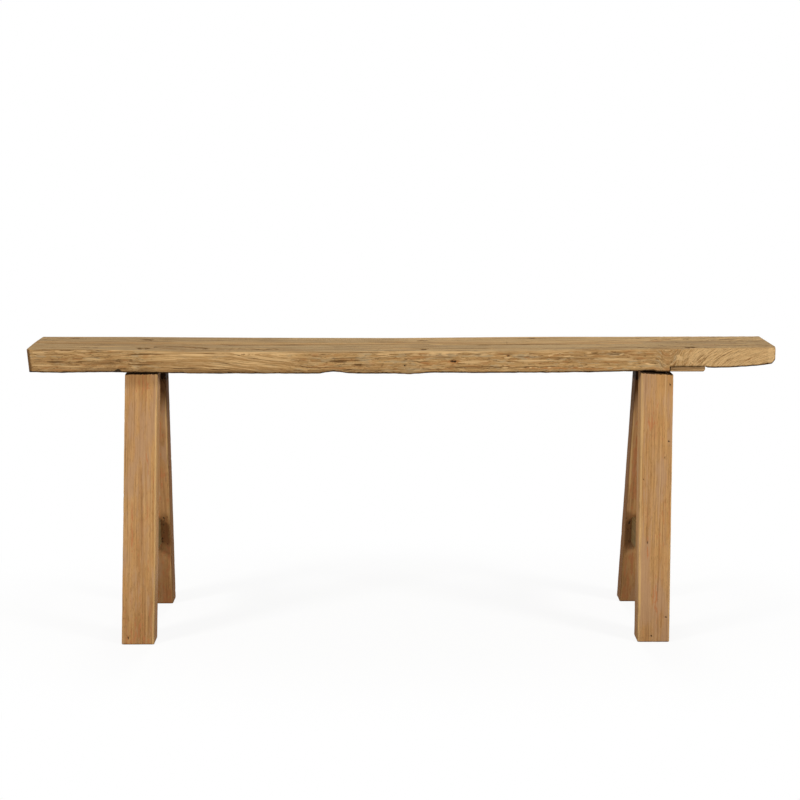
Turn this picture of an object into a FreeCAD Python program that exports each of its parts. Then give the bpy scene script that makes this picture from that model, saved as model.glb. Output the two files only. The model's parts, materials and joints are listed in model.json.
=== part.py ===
"""A noodle bench: a long narrow seat plank on two pairs of splayed legs, each pair tied by an end stretcher.

Millimetres. X runs along the bench to the right, Y from the front to the back and Z up. The origin is on
the floor under the middle of the seat.
"""
import FreeCAD
import Part
import os

# Seat plank
SEAT_LENGTH = 1300.0
SEAT_HEIGHT = 511.0              # top of the plank at its two ends
SEAT_SAG = 2.7                   # how much lower the top lies in the middle
PLANK_THICKNESS = 42.0
BACK_EDGE = 72.0                 # middle line to the straight back edge
FRONT_EDGE_LEFT = 69.0           # middle line to the front edge, which was never sawn straight
FRONT_EDGE_WIDE = 73.0
FRONT_EDGE_RIGHT = 68.0
LEFT_TAPER_FROM_END = 172.0      # where the front edge starts to swell out, from the left end
WIDE_FROM_END = 320.0            # where the front edge is at its widest, from the left end
RIGHT_TAPER_FROM_END = 320.0     # where the front edge has drawn in again, from the right end
LEVEL_LENGTH = 120.0             # the level stretch in the middle of the seat, of one width
FRONT_ARRIS = 6.0                # the front top edge, worn round
ARRIS = 3.0                      # the other long edges
END_EASE = 2.5                   # the edges of the end grain are eased by this much
LEFT_END_SKEW = 0.5              # the front corner lies this far inside the back corner
RIGHT_END_SKEW = 2.5

# Thinned right end of the plank, and the strip let in under it
TIP_THICKNESS = 28.0
TIP_BEND_FROM_END = 80.0         # the underside rises to the tip from here
TIP_NOSE = 7.0                   # the lower corner of the tip, worn off
STRIP_LENGTH = 62.0
STRIP_THICKNESS = 8.5
STRIP_BEARING = 6.5              # how far the strip reaches in over the right legs
STRIP_INSET = 1.0                # the strip stops this far inside the plank's edges
STRIP_ROUND = 5.0                # its worn lower corner
STRIP_ARRIS = 0.8
STRIP_SEAM = 0.3
NAIL_DIAMETER = 3.2
NAIL_LENGTH = 24.0
NAIL_HEAD_DIAMETER = 8.0
NAIL_HEAD_THICKNESS = 1.6
NAIL_SPACING = 84.0
NAIL_CLEARANCE = 0.05

# Legs: the places are given at the underside of the plank and on the floor
LEG_WIDTH = 55.5                 # along the bench
LEG_DEPTH = 40.0                 # front to back
LEG_ARRIS = 2.5
LEFT_LEG_TOP_FROM_END = 197.0
LEFT_LEG_FOOT_FROM_END = 190.5
RIGHT_LEG_TOP_FROM_END = 206.0
RIGHT_LEG_FOOT_FROM_END = 211.5
LEG_SETBACK = 3.0                # outer face of a leg to the plank's nearest edge
LEG_SPLAY = 74.5                 # how much further out a leg stands on the floor
PAIR_TWIST = 5.0                 # the left feet stand this far forward and the right feet this far back

# Stopped tenons of the legs, with a wedge hidden in the end of each
LEG_TENON_WIDTH = 30.0
LEG_TENON_DEPTH = 20.0
LEG_TENON_LENGTH = 26.0
WEDGE_LENGTH = 18.0
WEDGE_BUTT = 4.5
WEDGE_TIP = 1.2
WEDGE_CLEARANCE = 0.1
TENON_CLEARANCE = 0.2            # each cheek of a tenon to its mortise
MORTISE_END_GAP = 0.4            # the end of a tenon or a peg to the end of its hole

# End stretchers, tenoned into the legs and pegged
STRETCHER_THICKNESS = 24.0
STRETCHER_HEIGHT = 50.0
STRETCHER_BOTTOM = 122.0
STRETCHER_TENON_THICKNESS = 12.0
STRETCHER_TENON_HEIGHT = 34.0
STRETCHER_TENON_LENGTH = 27.0
PEG_DIAMETER = 7.0
PEG_LENGTH = 42.0
PEG_CLEARANCE = 0.05

# Values that follow from the sizes above
LEFT_END = -SEAT_LENGTH / 2
RIGHT_END = SEAT_LENGTH / 2
LEG_TOP_REACH = min(FRONT_EDGE_LEFT, FRONT_EDGE_RIGHT, BACK_EDGE) - LEG_SETBACK
LEG_FOOT_REACH = LEG_TOP_REACH + LEG_SPLAY
STRETCHER_MIDDLE = STRETCHER_BOTTOM + STRETCHER_HEIGHT / 2
OVERCUT = 5.0                    # cutting shapes run this far past the faces that they open

# Each pair of legs: where it stands at the top and on the floor, how far its feet are shifted, its outer side
PAIRS = {
    "left": (LEFT_END + LEFT_LEG_TOP_FROM_END, LEFT_END + LEFT_LEG_FOOT_FROM_END, -PAIR_TWIST, -1),
    "right": (RIGHT_END - RIGHT_LEG_TOP_FROM_END, RIGHT_END - RIGHT_LEG_FOOT_FROM_END, PAIR_TWIST, 1),
}
ROWS = {"front": -1, "back": 1}


def point(x, y, z):
    return FreeCAD.Vector(x, y, z)


def seat_top(x):
    """Height of the top of the plank: a shallow parabola, lowest in the middle."""
    return SEAT_HEIGHT - SEAT_SAG * (1 - (2 * x / SEAT_LENGTH) ** 2)


def seat_underside(x):
    return seat_top(x) - PLANK_THICKNESS


STRIP_LEFT = PAIRS["right"][0] + LEG_WIDTH / 2 - STRIP_BEARING
STRIP_MIDDLE = STRIP_LEFT + STRIP_LENGTH / 2
STRIP_BOTTOM = seat_underside(STRIP_LEFT)
STRIP_TOP = STRIP_BOTTOM + STRIP_THICKNESS


def block(x0, x1, y0, y1, z0, z1):
    return Part.makeBox(x1 - x0, y1 - y0, z1 - z0, point(x0, y0, z0))


def rounded_rectangle(u0, u1, v0, v1, radii, place):
    """A closed wire of four corner arcs and four lines.

    radii are for the corners (u0, v0), (u1, v0), (u1, v1) and (u0, v1). place turns (u, v) into a point.
    """
    corners = [(u0, v0, 1, 1), (u1, v0, -1, 1), (u1, v1, -1, -1), (u0, v1, 1, -1)]
    bow = 1 - 0.5 ** 0.5         # the middle of a quarter arc lies this share of its radius from both sides
    arcs = []
    for number, ((u, v, inward_u, inward_v), r) in enumerate(zip(corners, radii)):
        ends = [place(u, v + inward_v * r), place(u + inward_u * r, v)]
        if number % 2:
            ends.reverse()
        middle = place(u + inward_u * r * bow, v + inward_v * r * bow)
        arcs.append((ends[0], middle, ends[1]))
    edges = []
    for number, arc in enumerate(arcs):
        following = arcs[(number + 1) % len(arcs)]
        edges.append(Part.Arc(*arc).toShape())
        edges.append(Part.LineSegment(arc[2], following[0]).toShape())
    return Part.Wire(edges)


def plank_section(x, front, ease=0.0, skew=0.0):
    """A cross-section of the plank. ease draws its sides in, and skew moves its front corner along X."""
    width = front + BACK_EDGE

    def place(y, z):
        return point(x + skew * (BACK_EDGE - y) / width, y, z)

    bottom = seat_underside(x) + ease
    top = seat_top(x) - ease
    radii = [ARRIS, ARRIS, ARRIS, FRONT_ARRIS]
    return rounded_rectangle(ease - front, BACK_EDGE - ease, bottom, top, radii, place)


def tip_relief():
    """What is cut away under the right end: a seat for the strip, then a slope up to the worn tip."""
    tip = SEAT_HEIGHT - TIP_THICKNESS
    below = STRIP_BOTTOM - OVERCUT
    past = RIGHT_END + OVERCUT
    outline = [
        (STRIP_LEFT, below),
        (STRIP_LEFT, STRIP_TOP),
        (RIGHT_END - TIP_BEND_FROM_END, STRIP_TOP),
        (RIGHT_END - TIP_NOSE, tip),
        (past, tip + TIP_NOSE + OVERCUT),
        (past, below),
    ]
    front = -max(FRONT_EDGE_WIDE, FRONT_EDGE_RIGHT) - OVERCUT
    points = [point(x, front, z) for x, z in outline]
    face = Part.Face(Part.makePolygon(points + points[:1]))
    return face.extrude(point(0, BACK_EDGE + OVERCUT - front, 0))


def plank_blank():
    """The plank before its joints are cut: straight runs between cross-sections, thinned at the right."""
    half_level = LEVEL_LENGTH / 2
    sections = [
        plank_section(LEFT_END, FRONT_EDGE_LEFT, END_EASE, LEFT_END_SKEW),
        plank_section(LEFT_END + END_EASE, FRONT_EDGE_LEFT, 0.0, LEFT_END_SKEW),
        plank_section(LEFT_END + LEFT_TAPER_FROM_END, FRONT_EDGE_LEFT),
        plank_section(LEFT_END + WIDE_FROM_END, FRONT_EDGE_WIDE),
        plank_section(-half_level, FRONT_EDGE_WIDE),
        plank_section(half_level, FRONT_EDGE_WIDE),
        plank_section(RIGHT_END - RIGHT_TAPER_FROM_END, FRONT_EDGE_RIGHT),
        plank_section(RIGHT_END - END_EASE, FRONT_EDGE_RIGHT, 0.0, -RIGHT_END_SKEW),
        plank_section(RIGHT_END, FRONT_EDGE_RIGHT, END_EASE, -RIGHT_END_SKEW),
    ]
    return Part.makeLoft(sections, True, True).cut(tip_relief())


def packing_strip():
    """The strip under the thinned end, across the plank, with its lower right corner worn round."""
    left = STRIP_LEFT + STRIP_SEAM
    front = STRIP_INSET - FRONT_EDGE_RIGHT

    def place(x, z):
        return point(x, front, z)

    radii = [STRIP_ARRIS, STRIP_ROUND, STRIP_ARRIS, STRIP_ARRIS]
    outline = rounded_rectangle(left, STRIP_LEFT + STRIP_LENGTH, STRIP_BOTTOM, STRIP_TOP, radii, place)
    return Part.Face(outline).extrude(point(0, BACK_EDGE - STRIP_INSET - front, 0))


def nail(y, clearance=0.0):
    """A nail driven up through the strip into the plank, its head flush. clearance makes the hole for it."""
    foot = point(STRIP_MIDDLE, y, STRIP_BOTTOM)
    up = point(0, 0, 1)
    head = Part.makeCylinder(NAIL_HEAD_DIAMETER / 2 + clearance, NAIL_HEAD_THICKNESS + clearance, foot, up)
    shank = Part.makeCylinder(NAIL_DIAMETER / 2 + clearance, NAIL_LENGTH + clearance, foot, up)
    return head.fuse(shank).removeSplitter()


class LegLine:
    """The middle line of a leg, straight from the floor to the underside of the plank and on into it."""

    def __init__(self, pair, row):
        self.top_x, self.foot_x, shift, self.outer = PAIRS[pair]
        side = ROWS[row]
        self.side = side
        self.top_z = seat_underside(self.top_x)
        self.top_y = side * (LEG_TOP_REACH - LEG_DEPTH / 2)
        self.foot_y = side * (LEG_FOOT_REACH - LEG_DEPTH / 2) + shift

    def at(self, z):
        share = z / self.top_z
        x = self.foot_x + share * (self.top_x - self.foot_x)
        y = self.foot_y + share * (self.top_y - self.foot_y)
        return point(x, y, z)

    def inner_face(self, z):
        """Y of the face that looks at the other leg of the pair."""
        return self.at(z).y - self.side * LEG_DEPTH / 2

    def slice(self, z, width, depth):
        """A level rectangle centred on the line."""
        middle = self.at(z)
        ways = [(-1, -1), (1, -1), (1, 1), (-1, 1)]
        corners = [middle + point(sx * width / 2, sy * depth / 2, 0) for sx, sy in ways]
        return Part.makePolygon(corners + corners[:1])

    def block(self, z0, size0, z1, size1):
        """A block along the line between two level rectangles."""
        return Part.makeLoft([self.slice(z0, *size0), self.slice(z1, *size1)], True, True)


def leg_post(line, blank, strip):
    """A leg without its tenon, cut level on the floor and fitted under the plank and the strip."""
    foot = line.at(0)
    x0, x1 = foot.x - LEG_WIDTH / 2, foot.x + LEG_WIDTH / 2
    y0, y1 = foot.y - LEG_DEPTH / 2, foot.y + LEG_DEPTH / 2
    outline = rounded_rectangle(x0, x1, y0, y1, [LEG_ARRIS] * 4, lambda x, y: point(x, y, 0))
    post = Part.Face(outline).extrude(line.at(line.top_z + OVERCUT) - foot)
    return post.cut(blank).cut(strip)


def leg_tenon(line, clearance=0.0, end_gap=0.0):
    """The stopped tenon at the top of a leg. The clearances make the mortise for it."""
    size = (LEG_TENON_WIDTH + 2 * clearance, LEG_TENON_DEPTH + 2 * clearance)
    return line.block(line.top_z - OVERCUT, size, line.top_z + LEG_TENON_LENGTH + end_gap, size)


def tenon_wedge(line):
    """The wedge in the end of a leg's tenon, thin end down."""
    end = line.top_z + LEG_TENON_LENGTH
    return line.block(end - WEDGE_LENGTH, (WEDGE_TIP, LEG_TENON_DEPTH), end, (WEDGE_BUTT, LEG_TENON_DEPTH))


def wedge_kerf(line):
    """The slot for the wedge, right across the tenon and open at its end."""
    end = line.top_z + LEG_TENON_LENGTH
    across = LEG_TENON_DEPTH + 2 * OVERCUT
    flare = (WEDGE_BUTT - WEDGE_TIP) / WEDGE_LENGTH
    tip = WEDGE_TIP + 2 * WEDGE_CLEARANCE
    mouth = WEDGE_BUTT + 2 * WEDGE_CLEARANCE + flare * OVERCUT
    return line.block(end - WEDGE_LENGTH, (tip, across), end + OVERCUT, (mouth, across))


def stretcher_tenons(front, back, clearance=0.0, end_gap=0.0):
    """One block through both tenons of a stretcher. The clearances make the mortises for them."""
    middle = front.at(STRETCHER_MIDDLE).x
    half_thickness = STRETCHER_TENON_THICKNESS / 2 + clearance
    half_height = STRETCHER_TENON_HEIGHT / 2 + clearance
    reach = STRETCHER_TENON_LENGTH + end_gap
    y0 = front.inner_face(STRETCHER_MIDDLE) - reach
    y1 = back.inner_face(STRETCHER_MIDDLE) + reach
    z0, z1 = STRETCHER_MIDDLE - half_height, STRETCHER_MIDDLE + half_height
    return block(middle - half_thickness, middle + half_thickness, y0, y1, z0, z1)


def stretcher_body(front, back, front_post, back_post):
    """The board between the legs of a pair, with its ends cut to their slope."""
    middle = front.at(STRETCHER_MIDDLE)
    x0, x1 = middle.x - STRETCHER_THICKNESS / 2, middle.x + STRETCHER_THICKNESS / 2
    z0, z1 = STRETCHER_BOTTOM, STRETCHER_BOTTOM + STRETCHER_HEIGHT
    board = block(x0, x1, middle.y, back.at(STRETCHER_MIDDLE).y, z0, z1)
    return board.cut(front_post).cut(back_post)


def peg(line, clearance=0.0, end_gap=0.0):
    """A peg from the outer side of a leg through the stretcher's tenon. The clearances make its hole."""
    middle = line.at(STRETCHER_MIDDLE)
    outer_x = middle.x + line.outer * LEG_WIDTH / 2
    y = line.inner_face(STRETCHER_MIDDLE) + line.side * STRETCHER_TENON_LENGTH / 2
    start = outer_x + line.outer * (OVERCUT if clearance else 0.0)
    length = PEG_LENGTH + end_gap + abs(start - outer_x)
    inward = point(-line.outer, 0, 0)
    return Part.makeCylinder(PEG_DIAMETER / 2 + clearance, length, point(start, y, STRETCHER_MIDDLE), inward)


def build():
    """Makes every piece of the bench, by node name."""
    pieces = {}
    blank = plank_blank()
    strip = packing_strip()
    plank = blank
    for pair in PAIRS:
        lines = {row: LegLine(pair, row) for row in ROWS}
        posts = {row: leg_post(lines[row], blank, strip) for row in ROWS}
        ends = (lines["front"], lines["back"])
        mortises = stretcher_tenons(*ends, TENON_CLEARANCE, MORTISE_END_GAP)
        stretcher = stretcher_body(*ends, posts["front"], posts["back"]).fuse(stretcher_tenons(*ends))
        for row, line in lines.items():
            hole = peg(line, PEG_CLEARANCE, MORTISE_END_GAP)
            leg = posts[row].fuse(leg_tenon(line)).cut(wedge_kerf(line))
            pieces[f"leg_{row}_{pair}"] = leg.cut(mortises).cut(hole).removeSplitter()
            pieces[f"tenon_wedge_{row}_{pair}"] = tenon_wedge(line)
            pieces[f"peg_{row}_{pair}"] = peg(line)
            stretcher = stretcher.cut(hole)
            plank = plank.cut(leg_tenon(line, TENON_CLEARANCE, MORTISE_END_GAP))
        pieces[f"stretcher_{pair}"] = stretcher.removeSplitter()
    nail_places = (-NAIL_SPACING / 2, NAIL_SPACING / 2)
    for y in nail_places:
        hole = nail(y, NAIL_CLEARANCE)
        plank = plank.cut(hole)
        strip = strip.cut(hole)
    pieces["seat_plank"] = plank
    pieces["packing_strip"] = strip
    pieces["strip_nails"] = Part.makeCompound([nail(y) for y in nail_places])
    return pieces


os.makedirs("parts", exist_ok=True)
for name, shape in build().items():
    shape.exportStep(f"parts/{name}.step")
    box = shape.BoundBox
    size = f"{box.XLength:.1f} x {box.YLength:.1f} x {box.ZLength:.1f}"
    print(f"{name}: {len(shape.Solids)} solid(s), {size} mm, valid {shape.isValid()}")
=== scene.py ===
# %% [markdown]
# # A noodle bench of reclaimed wood
#
# The bench is one thick old plank on four splayed legs, with a stretcher low down between the legs of each
# pair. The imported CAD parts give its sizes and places. This lesson dresses them: it works out the worn
# surfaces of the plank, the legs, the stretchers and the packing strip as numpy grids, cuts the joints into
# them, and gives each kind of wood a procedural finish.

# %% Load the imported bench
import json
import math
import bpy
import numpy as np
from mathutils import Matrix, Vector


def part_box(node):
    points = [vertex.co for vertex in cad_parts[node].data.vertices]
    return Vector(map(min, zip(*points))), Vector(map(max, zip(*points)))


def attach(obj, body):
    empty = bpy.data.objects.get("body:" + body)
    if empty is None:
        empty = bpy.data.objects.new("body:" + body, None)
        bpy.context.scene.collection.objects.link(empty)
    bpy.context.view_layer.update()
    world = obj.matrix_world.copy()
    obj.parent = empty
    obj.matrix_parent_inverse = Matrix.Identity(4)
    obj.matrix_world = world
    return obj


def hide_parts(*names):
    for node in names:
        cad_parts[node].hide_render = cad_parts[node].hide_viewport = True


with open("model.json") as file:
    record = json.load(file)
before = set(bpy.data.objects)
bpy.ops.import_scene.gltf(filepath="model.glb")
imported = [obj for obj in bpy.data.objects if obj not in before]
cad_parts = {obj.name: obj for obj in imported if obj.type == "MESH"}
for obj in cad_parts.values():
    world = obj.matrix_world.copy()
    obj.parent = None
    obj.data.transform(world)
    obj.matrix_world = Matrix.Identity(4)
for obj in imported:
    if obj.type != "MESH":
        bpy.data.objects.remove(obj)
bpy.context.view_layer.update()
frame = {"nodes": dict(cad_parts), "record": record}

MM = 0.001                       # the shapes below are worked out in millimetres, and Blender takes metres
scene = bpy.context.scene
scene.view_settings.view_transform = "Standard"

# %% [markdown]
# ## Camera
#
# A camera can be placed by eye, or fitted to known points. Here the corners of the plank and the feet were
# matched to their places in the photograph, which gave the lens, the place and the downward tilt together.

# %% Camera
LENS_MM = 73.38
CAMERA_PLACE = (-0.0161, -2.8633, 0.9193)
TILT_DOWN = math.radians(10.159)
TURN_RIGHT = 0.0046

lens = bpy.data.cameras.new("camera")
lens.lens = LENS_MM
lens.sensor_width = 36.0
camera = bpy.data.objects.new("camera", lens)
camera.location = CAMERA_PLACE
camera.rotation_euler = (math.pi / 2 - TILT_DOWN, 0.0, -TURN_RIGHT)
scene.collection.objects.link(camera)
scene.camera = camera
print("camera", [round(v, 3) for v in camera.location])

# %% [markdown]
# ## Shader shorthand
#
# A shader tree is a graph, and building one node at a time is long-winded. This small class lays a node,
# sets its inputs and hands back its output in one call, so that a finish below reads like a formula.


# %% Shader shorthand
class Graph:
    """A shader tree with short ways to lay nodes in it. An input may be a number, a colour or a socket."""

    def __init__(self, tree):
        self.tree = tree

    def node(self, kind, inputs=(), **settings):
        made = self.tree.nodes.new(kind)
        for name, value in settings.items():
            setattr(made, name, value)
        for key, value in dict(inputs).items():
            self.put(made.inputs[key], value)
        return made

    def put(self, socket, value):
        if isinstance(value, bpy.types.NodeSocket):
            self.tree.links.new(value, socket)
        else:
            socket.default_value = value

    def math(self, operation, a, b=0.0):
        return self.node("ShaderNodeMath", {0: a, 1: b}, operation=operation).outputs[0]

    def times(self, a, b):
        return self.math("MULTIPLY", a, b)

    def ramp(self, value, low, high, start=0.0, end=1.0):
        """A smooth step from start to end while the value goes from low to high."""
        inputs = {"Value": value, "From Min": low, "From Max": high, "To Min": start, "To Max": end}
        return self.node("ShaderNodeMapRange", inputs, interpolation_type="SMOOTHSTEP").outputs[0]

    def mix(self, factor, a, b):
        return self.node("ShaderNodeMix", {0: factor, 6: a, 7: b}, data_type="RGBA").outputs[2]

    def noise(self, vector, stretch, detail=4.0, roughness=0.55):
        """Fractal noise, from 0 to 1, with so many waves per metre along each axis."""
        scaled = self.node("ShaderNodeVectorMath", {0: vector, 1: stretch}, operation="MULTIPLY").outputs[0]
        inputs = {"Vector": scaled, "Scale": 1.0, "Detail": detail, "Roughness": roughness}
        return self.node("ShaderNodeTexNoise", inputs).outputs[0]

    def ragged(self, mark, grain, spread=2.0):
        """A soft mark from 0 to 1 turned into a ragged one: the grain's noise says where it takes hold."""
        shifted = self.math("ADD", mark, self.times(self.math("SUBTRACT", grain, 0.5), spread))
        return self.ramp(shifted, 0.36, 0.6)

    def attribute(self, name, output="Fac"):
        return self.node("ShaderNodeAttribute", attribute_name=name).outputs[output]

    def place(self):
        return self.node("ShaderNodeTexCoord").outputs["Object"]

    def sees_backdrop(self):
        """1 for a ray from the camera, a mirror or glass, and 0 for one that only carries light."""
        rays = self.node("ShaderNodeLightPath").outputs
        mirrored = self.math("MAXIMUM", rays["Is Glossy Ray"], rays["Is Transmission Ray"])
        return self.math("MAXIMUM", rays["Is Camera Ray"], mirrored)


def srgb(red, green, blue):
    """A colour written as it looks on screen, from 0 to 255, as the linear values that Blender takes."""
    share = np.array([red, green, blue]) / 255
    linear = np.where(share <= 0.04045, share / 12.92, ((share + 0.055) / 1.055) ** 2.4)
    return (*linear.tolist(), 1.0)


def new_material(name):
    """A material with a bare Principled shader: its graph and that shader's inputs."""
    material = bpy.data.materials.new(name)
    material.use_nodes = True
    graph = Graph(material.node_tree)
    return material, graph, material.node_tree.nodes["Principled BSDF"].inputs


print("shorthand ready, and mid grey is", round(srgb(128, 128, 128)[0], 3))

# %% [markdown]
# ## Floor, background and light
#
# The bench stands on a white sweep. A floor that is only lit looks grey, and one that only glows has no
# shadow, so this one mixes the two: near the bench a share of it answers to the light and keeps the shadows
# of the legs, and further out it turns into plain white and meets the white world. Two large soft lamps hang
# at the front, on the left and on the right, a weaker one lights the back, and the world fills the shade.

# %% World
FILL = 0.17                      # how brightly the world lights the bench; to the eye it is plain white

world = bpy.data.worlds.new("studio")
scene.world = world
world.use_nodes = True
sky = Graph(world.node_tree)
for old in list(world.node_tree.nodes):
    world.node_tree.nodes.remove(old)
seen = sky.sees_backdrop()
fill = sky.node("ShaderNodeBackground", {"Color": (1.0, 0.99, 0.97, 1.0), "Strength": FILL}).outputs[0]
white = sky.node("ShaderNodeBackground", {"Color": (1.0, 1.0, 1.0, 1.0), "Strength": 1.0}).outputs[0]
backdrop = sky.node("ShaderNodeMixShader", {0: seen, 1: fill, 2: white}).outputs[0]
sky.node("ShaderNodeOutputWorld", {"Surface": backdrop})
print("world fills the shade with", FILL)

# %% Floor
FLOOR_HALF = 12.0
SHADOW_REACH = (0.35, 1.15)      # metres from the middle: the shadows fade out between the two
SHADOW_SHARE = 0.12              # how much of the floor near the bench answers to the light
FLOOR_LIT, FLOOR_BOUNCE = 0.9, 0.3   # how white it is to the eye, and to the light that it throws back

corners = np.array([[-1, -1, 0], [1, -1, 0], [1, 1, 0], [-1, 1, 0]]) * FLOOR_HALF
floor_mesh = bpy.data.meshes.new("floor")
floor_mesh.from_pydata(corners.tolist(), [], [(0, 1, 2, 3)])
floor = bpy.data.objects.new("floor", floor_mesh)
scene.collection.objects.link(floor)

floor_paint, graph, shader = new_material("floor_white")
seen = graph.sees_backdrop()
bounce, bright = ((level, level, level, 1.0) for level in (FLOOR_BOUNCE, FLOOR_LIT))
graph.put(shader["Base Color"], graph.mix(seen, bounce, bright))
shader["Roughness"].default_value = 0.9
shader["Specular IOR Level"].default_value = 0.0
distance = graph.node("ShaderNodeVectorMath", {0: graph.place(), 1: (1.0, 2.0, 1.0)}, operation="MULTIPLY")
distance = graph.node("ShaderNodeVectorMath", {0: distance.outputs[0]}, operation="LENGTH").outputs["Value"]
plain = graph.times(graph.ramp(distance, *SHADOW_REACH, 1.0 - SHADOW_SHARE, 1.0), seen)
glow = graph.node("ShaderNodeEmission", {"Strength": 1.0}).outputs[0]
lit = graph.tree.nodes["Principled BSDF"].outputs[0]
above = graph.node("ShaderNodeMixShader", {0: plain, 1: lit, 2: glow}).outputs[0]
from_below = graph.node("ShaderNodeNewGeometry").outputs["Backfacing"]
clear = graph.node("ShaderNodeBsdfTransparent").outputs[0]
surface = graph.node("ShaderNodeMixShader", {0: from_below, 1: above, 2: clear}).outputs[0]
graph.put(graph.tree.nodes["Material Output"].inputs["Surface"], surface)
floor_mesh.materials.append(floor_paint)
print("floor", 2 * FLOOR_HALF, "m wide")

# %% Lamps
LAMP_AIM = (0.0, 0.0, 0.3)
LAMP_SIDE = 0.8
LAMP_COLOUR = (1.0, 0.985, 0.96)


def soft_lamp(name, place, aim, side, power):
    """A square area lamp at a place, turned to face the aim."""
    data = bpy.data.lights.new(name, "AREA")
    data.shape = "SQUARE"
    data.size = side
    data.energy = power
    data.color = LAMP_COLOUR
    lamp = bpy.data.objects.new(name, data)
    away = np.array(place) - np.array(aim)
    flat = math.hypot(away[0], away[1])
    lamp.location = place
    lamp.rotation_euler = (math.atan2(flat, away[2]), 0.0, math.atan2(away[0], -away[1]))
    scene.collection.objects.link(lamp)
    return lamp


soft_lamp("lamp_left", (-2.9, -2.1, 2.0), LAMP_AIM, LAMP_SIDE, 98.0)
soft_lamp("lamp_right", (3.0, -2.0, 1.9), LAMP_AIM, LAMP_SIDE, 97.0)
back_lamp = soft_lamp("lamp_back", (0.0, 3.0, 1.9), LAMP_AIM, LAMP_SIDE, 46.0)
back_lamp.visible_glossy = False   # or the top would mirror it, as a grey sheen
print("lamps hung")

# %% [markdown]
# ## Old wood
#
# All the wood shares one recipe. Noise stretched along the fibre gives bands, streaks, lines and hairs, and
# shorter noise gives the mottles of a weathered face. Marks on the points of a piece say how much of a place
# is groove, crack, rubbed wood or stains, and where shade is painted on. A mark is not just mixed in: noise
# decides where it takes hold, so that a soft mark ends in ragged fibres. The recipe is a node group, and each
# wood has its own colours.

# %% Old wood recipe
WOOD_MARKS = ("Groove", "Crack", "Pale", "Grey", "Warm", "Mottle", "End", "Calm")
WOOD_TONES = ("Light", "Middle", "Deep", "Silver", "Rust", "Worn")
CRACK_TONE = (34, 23, 14)
WOOD_SHINE, WOOD_BUMP = 0.07, 0.6


def old_wood_group():
    """The shared recipe: colour, roughness and relief from the fibre place and the marks."""
    tree = bpy.data.node_groups.new("old_wood", "ShaderNodeTree")
    inputs = [("Fibre", "Vector"), ("Lively", "Float")]
    inputs += [(mark, "Float") for mark in WOOD_MARKS] + [(tone, "Color") for tone in WOOD_TONES]
    for name, kind in inputs:
        tree.interface.new_socket(name=name, in_out="INPUT", socket_type=f"NodeSocket{kind}")
    for name, kind in (("Color", "Color"), ("Roughness", "Float"), ("Height", "Float")):
        tree.interface.new_socket(name=name, in_out="OUTPUT", socket_type=f"NodeSocket{kind}")
    graph = Graph(tree)
    given = graph.node("NodeGroupInput").outputs
    fibre, mottle = given["Fibre"], given["Mottle"]
    lively = graph.times(given["Lively"], graph.math("SUBTRACT", 1.0, given["Calm"]))
    bands = graph.noise(fibre, (1.3, 62.0, 14.0), 4.0, 0.6)
    streaks = graph.noise(fibre, (3.6, 320.0, 60.0), 4.0, 0.6)
    lines = graph.noise(fibre, (6.5, 720.0, 110.0), 3.0, 0.6)
    hairs = graph.noise(fibre, (16.0, 1900.0, 400.0), 3.0, 0.6)
    blotches = graph.noise(fibre, (16.0, 70.0, 50.0), 4.0, 0.6)
    mottles = graph.noise(fibre, (52.0, 320.0, 80.0), 4.0, 0.62)
    crumbs = graph.noise(fibre, (105.0, 480.0, 200.0), 4.0, 0.65)
    tint = graph.noise(fibre, (32.0, 190.0, 60.0), 4.0, 0.62)
    veins = graph.times(graph.math("ADD", blotches, streaks), 0.5)

    def lay(colour, tone, strength, *masks):
        """One more layer of a tone, where all its masks meet."""
        for mask in masks:
            strength = graph.times(mask, strength)
        return graph.mix(strength, colour, given[tone])

    colour = graph.mix(graph.ramp(bands, 0.4, 0.6), given["Middle"], given["Light"])
    colour = lay(colour, "Deep", 0.6, lively, graph.ramp(streaks, 0.48, 0.39))
    colour = lay(colour, "Deep", 0.6, lively, graph.ramp(lines, 0.46, 0.38))
    colour = lay(colour, "Worn", 0.6, lively, graph.ramp(lines, 0.54, 0.62))
    colour = lay(colour, "Worn", 0.6, mottle, graph.ramp(mottles, 0.52, 0.64))
    colour = lay(colour, "Deep", 0.7, mottle, graph.ramp(crumbs, 0.46, 0.36))
    colour = lay(colour, "Silver", 0.7, mottle, graph.ramp(tint, 0.54, 0.64))
    colour = lay(colour, "Rust", 0.5, mottle, graph.ramp(tint, 0.46, 0.36))
    colour = lay(colour, "Silver", 0.5, given["Grey"])
    colour = lay(colour, "Silver", 0.6, graph.ragged(given["Grey"], veins, 2.8))
    colour = lay(colour, "Rust", 0.8, graph.ragged(given["Warm"], mottles))
    colour = lay(colour, "Worn", 0.85, graph.ragged(given["Pale"], lines))
    troughs = graph.math("SUBTRACT", 1.0, lines)
    colour = lay(colour, "Deep", 0.85, graph.ragged(given["Groove"], troughs))
    colour = lay(colour, "Deep", 0.45, graph.ramp(hairs, 0.44, 0.32))
    # the End mark darkens end grain and stains, and on the plank and the legs it also lays painted shade
    colour = lay(colour, "Deep", 0.8, given["End"])
    # the Crack mark lays black in cracks and holes, and also as painted shadow in gaps and seams
    black = graph.times(graph.ragged(given["Crack"], crumbs), 0.92)
    colour = graph.mix(black, colour, srgb(*CRACK_TONE))
    gloss = graph.ramp(streaks, 0.3, 0.7, 0.8, 0.66)
    gloss = graph.math("ADD", gloss, graph.times(given["Groove"], 0.12))
    relief = graph.math("ADD", graph.times(lines, 0.6), graph.times(hairs, 0.3))
    relief = graph.math("ADD", relief, graph.times(graph.times(mottle, crumbs), 1.2))
    relief = graph.math("SUBTRACT", relief, graph.times(black, 0.6))
    graph.node("NodeGroupOutput", {"Color": colour, "Roughness": gloss, "Height": relief})
    return tree


OLD_WOOD = old_wood_group()


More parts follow.
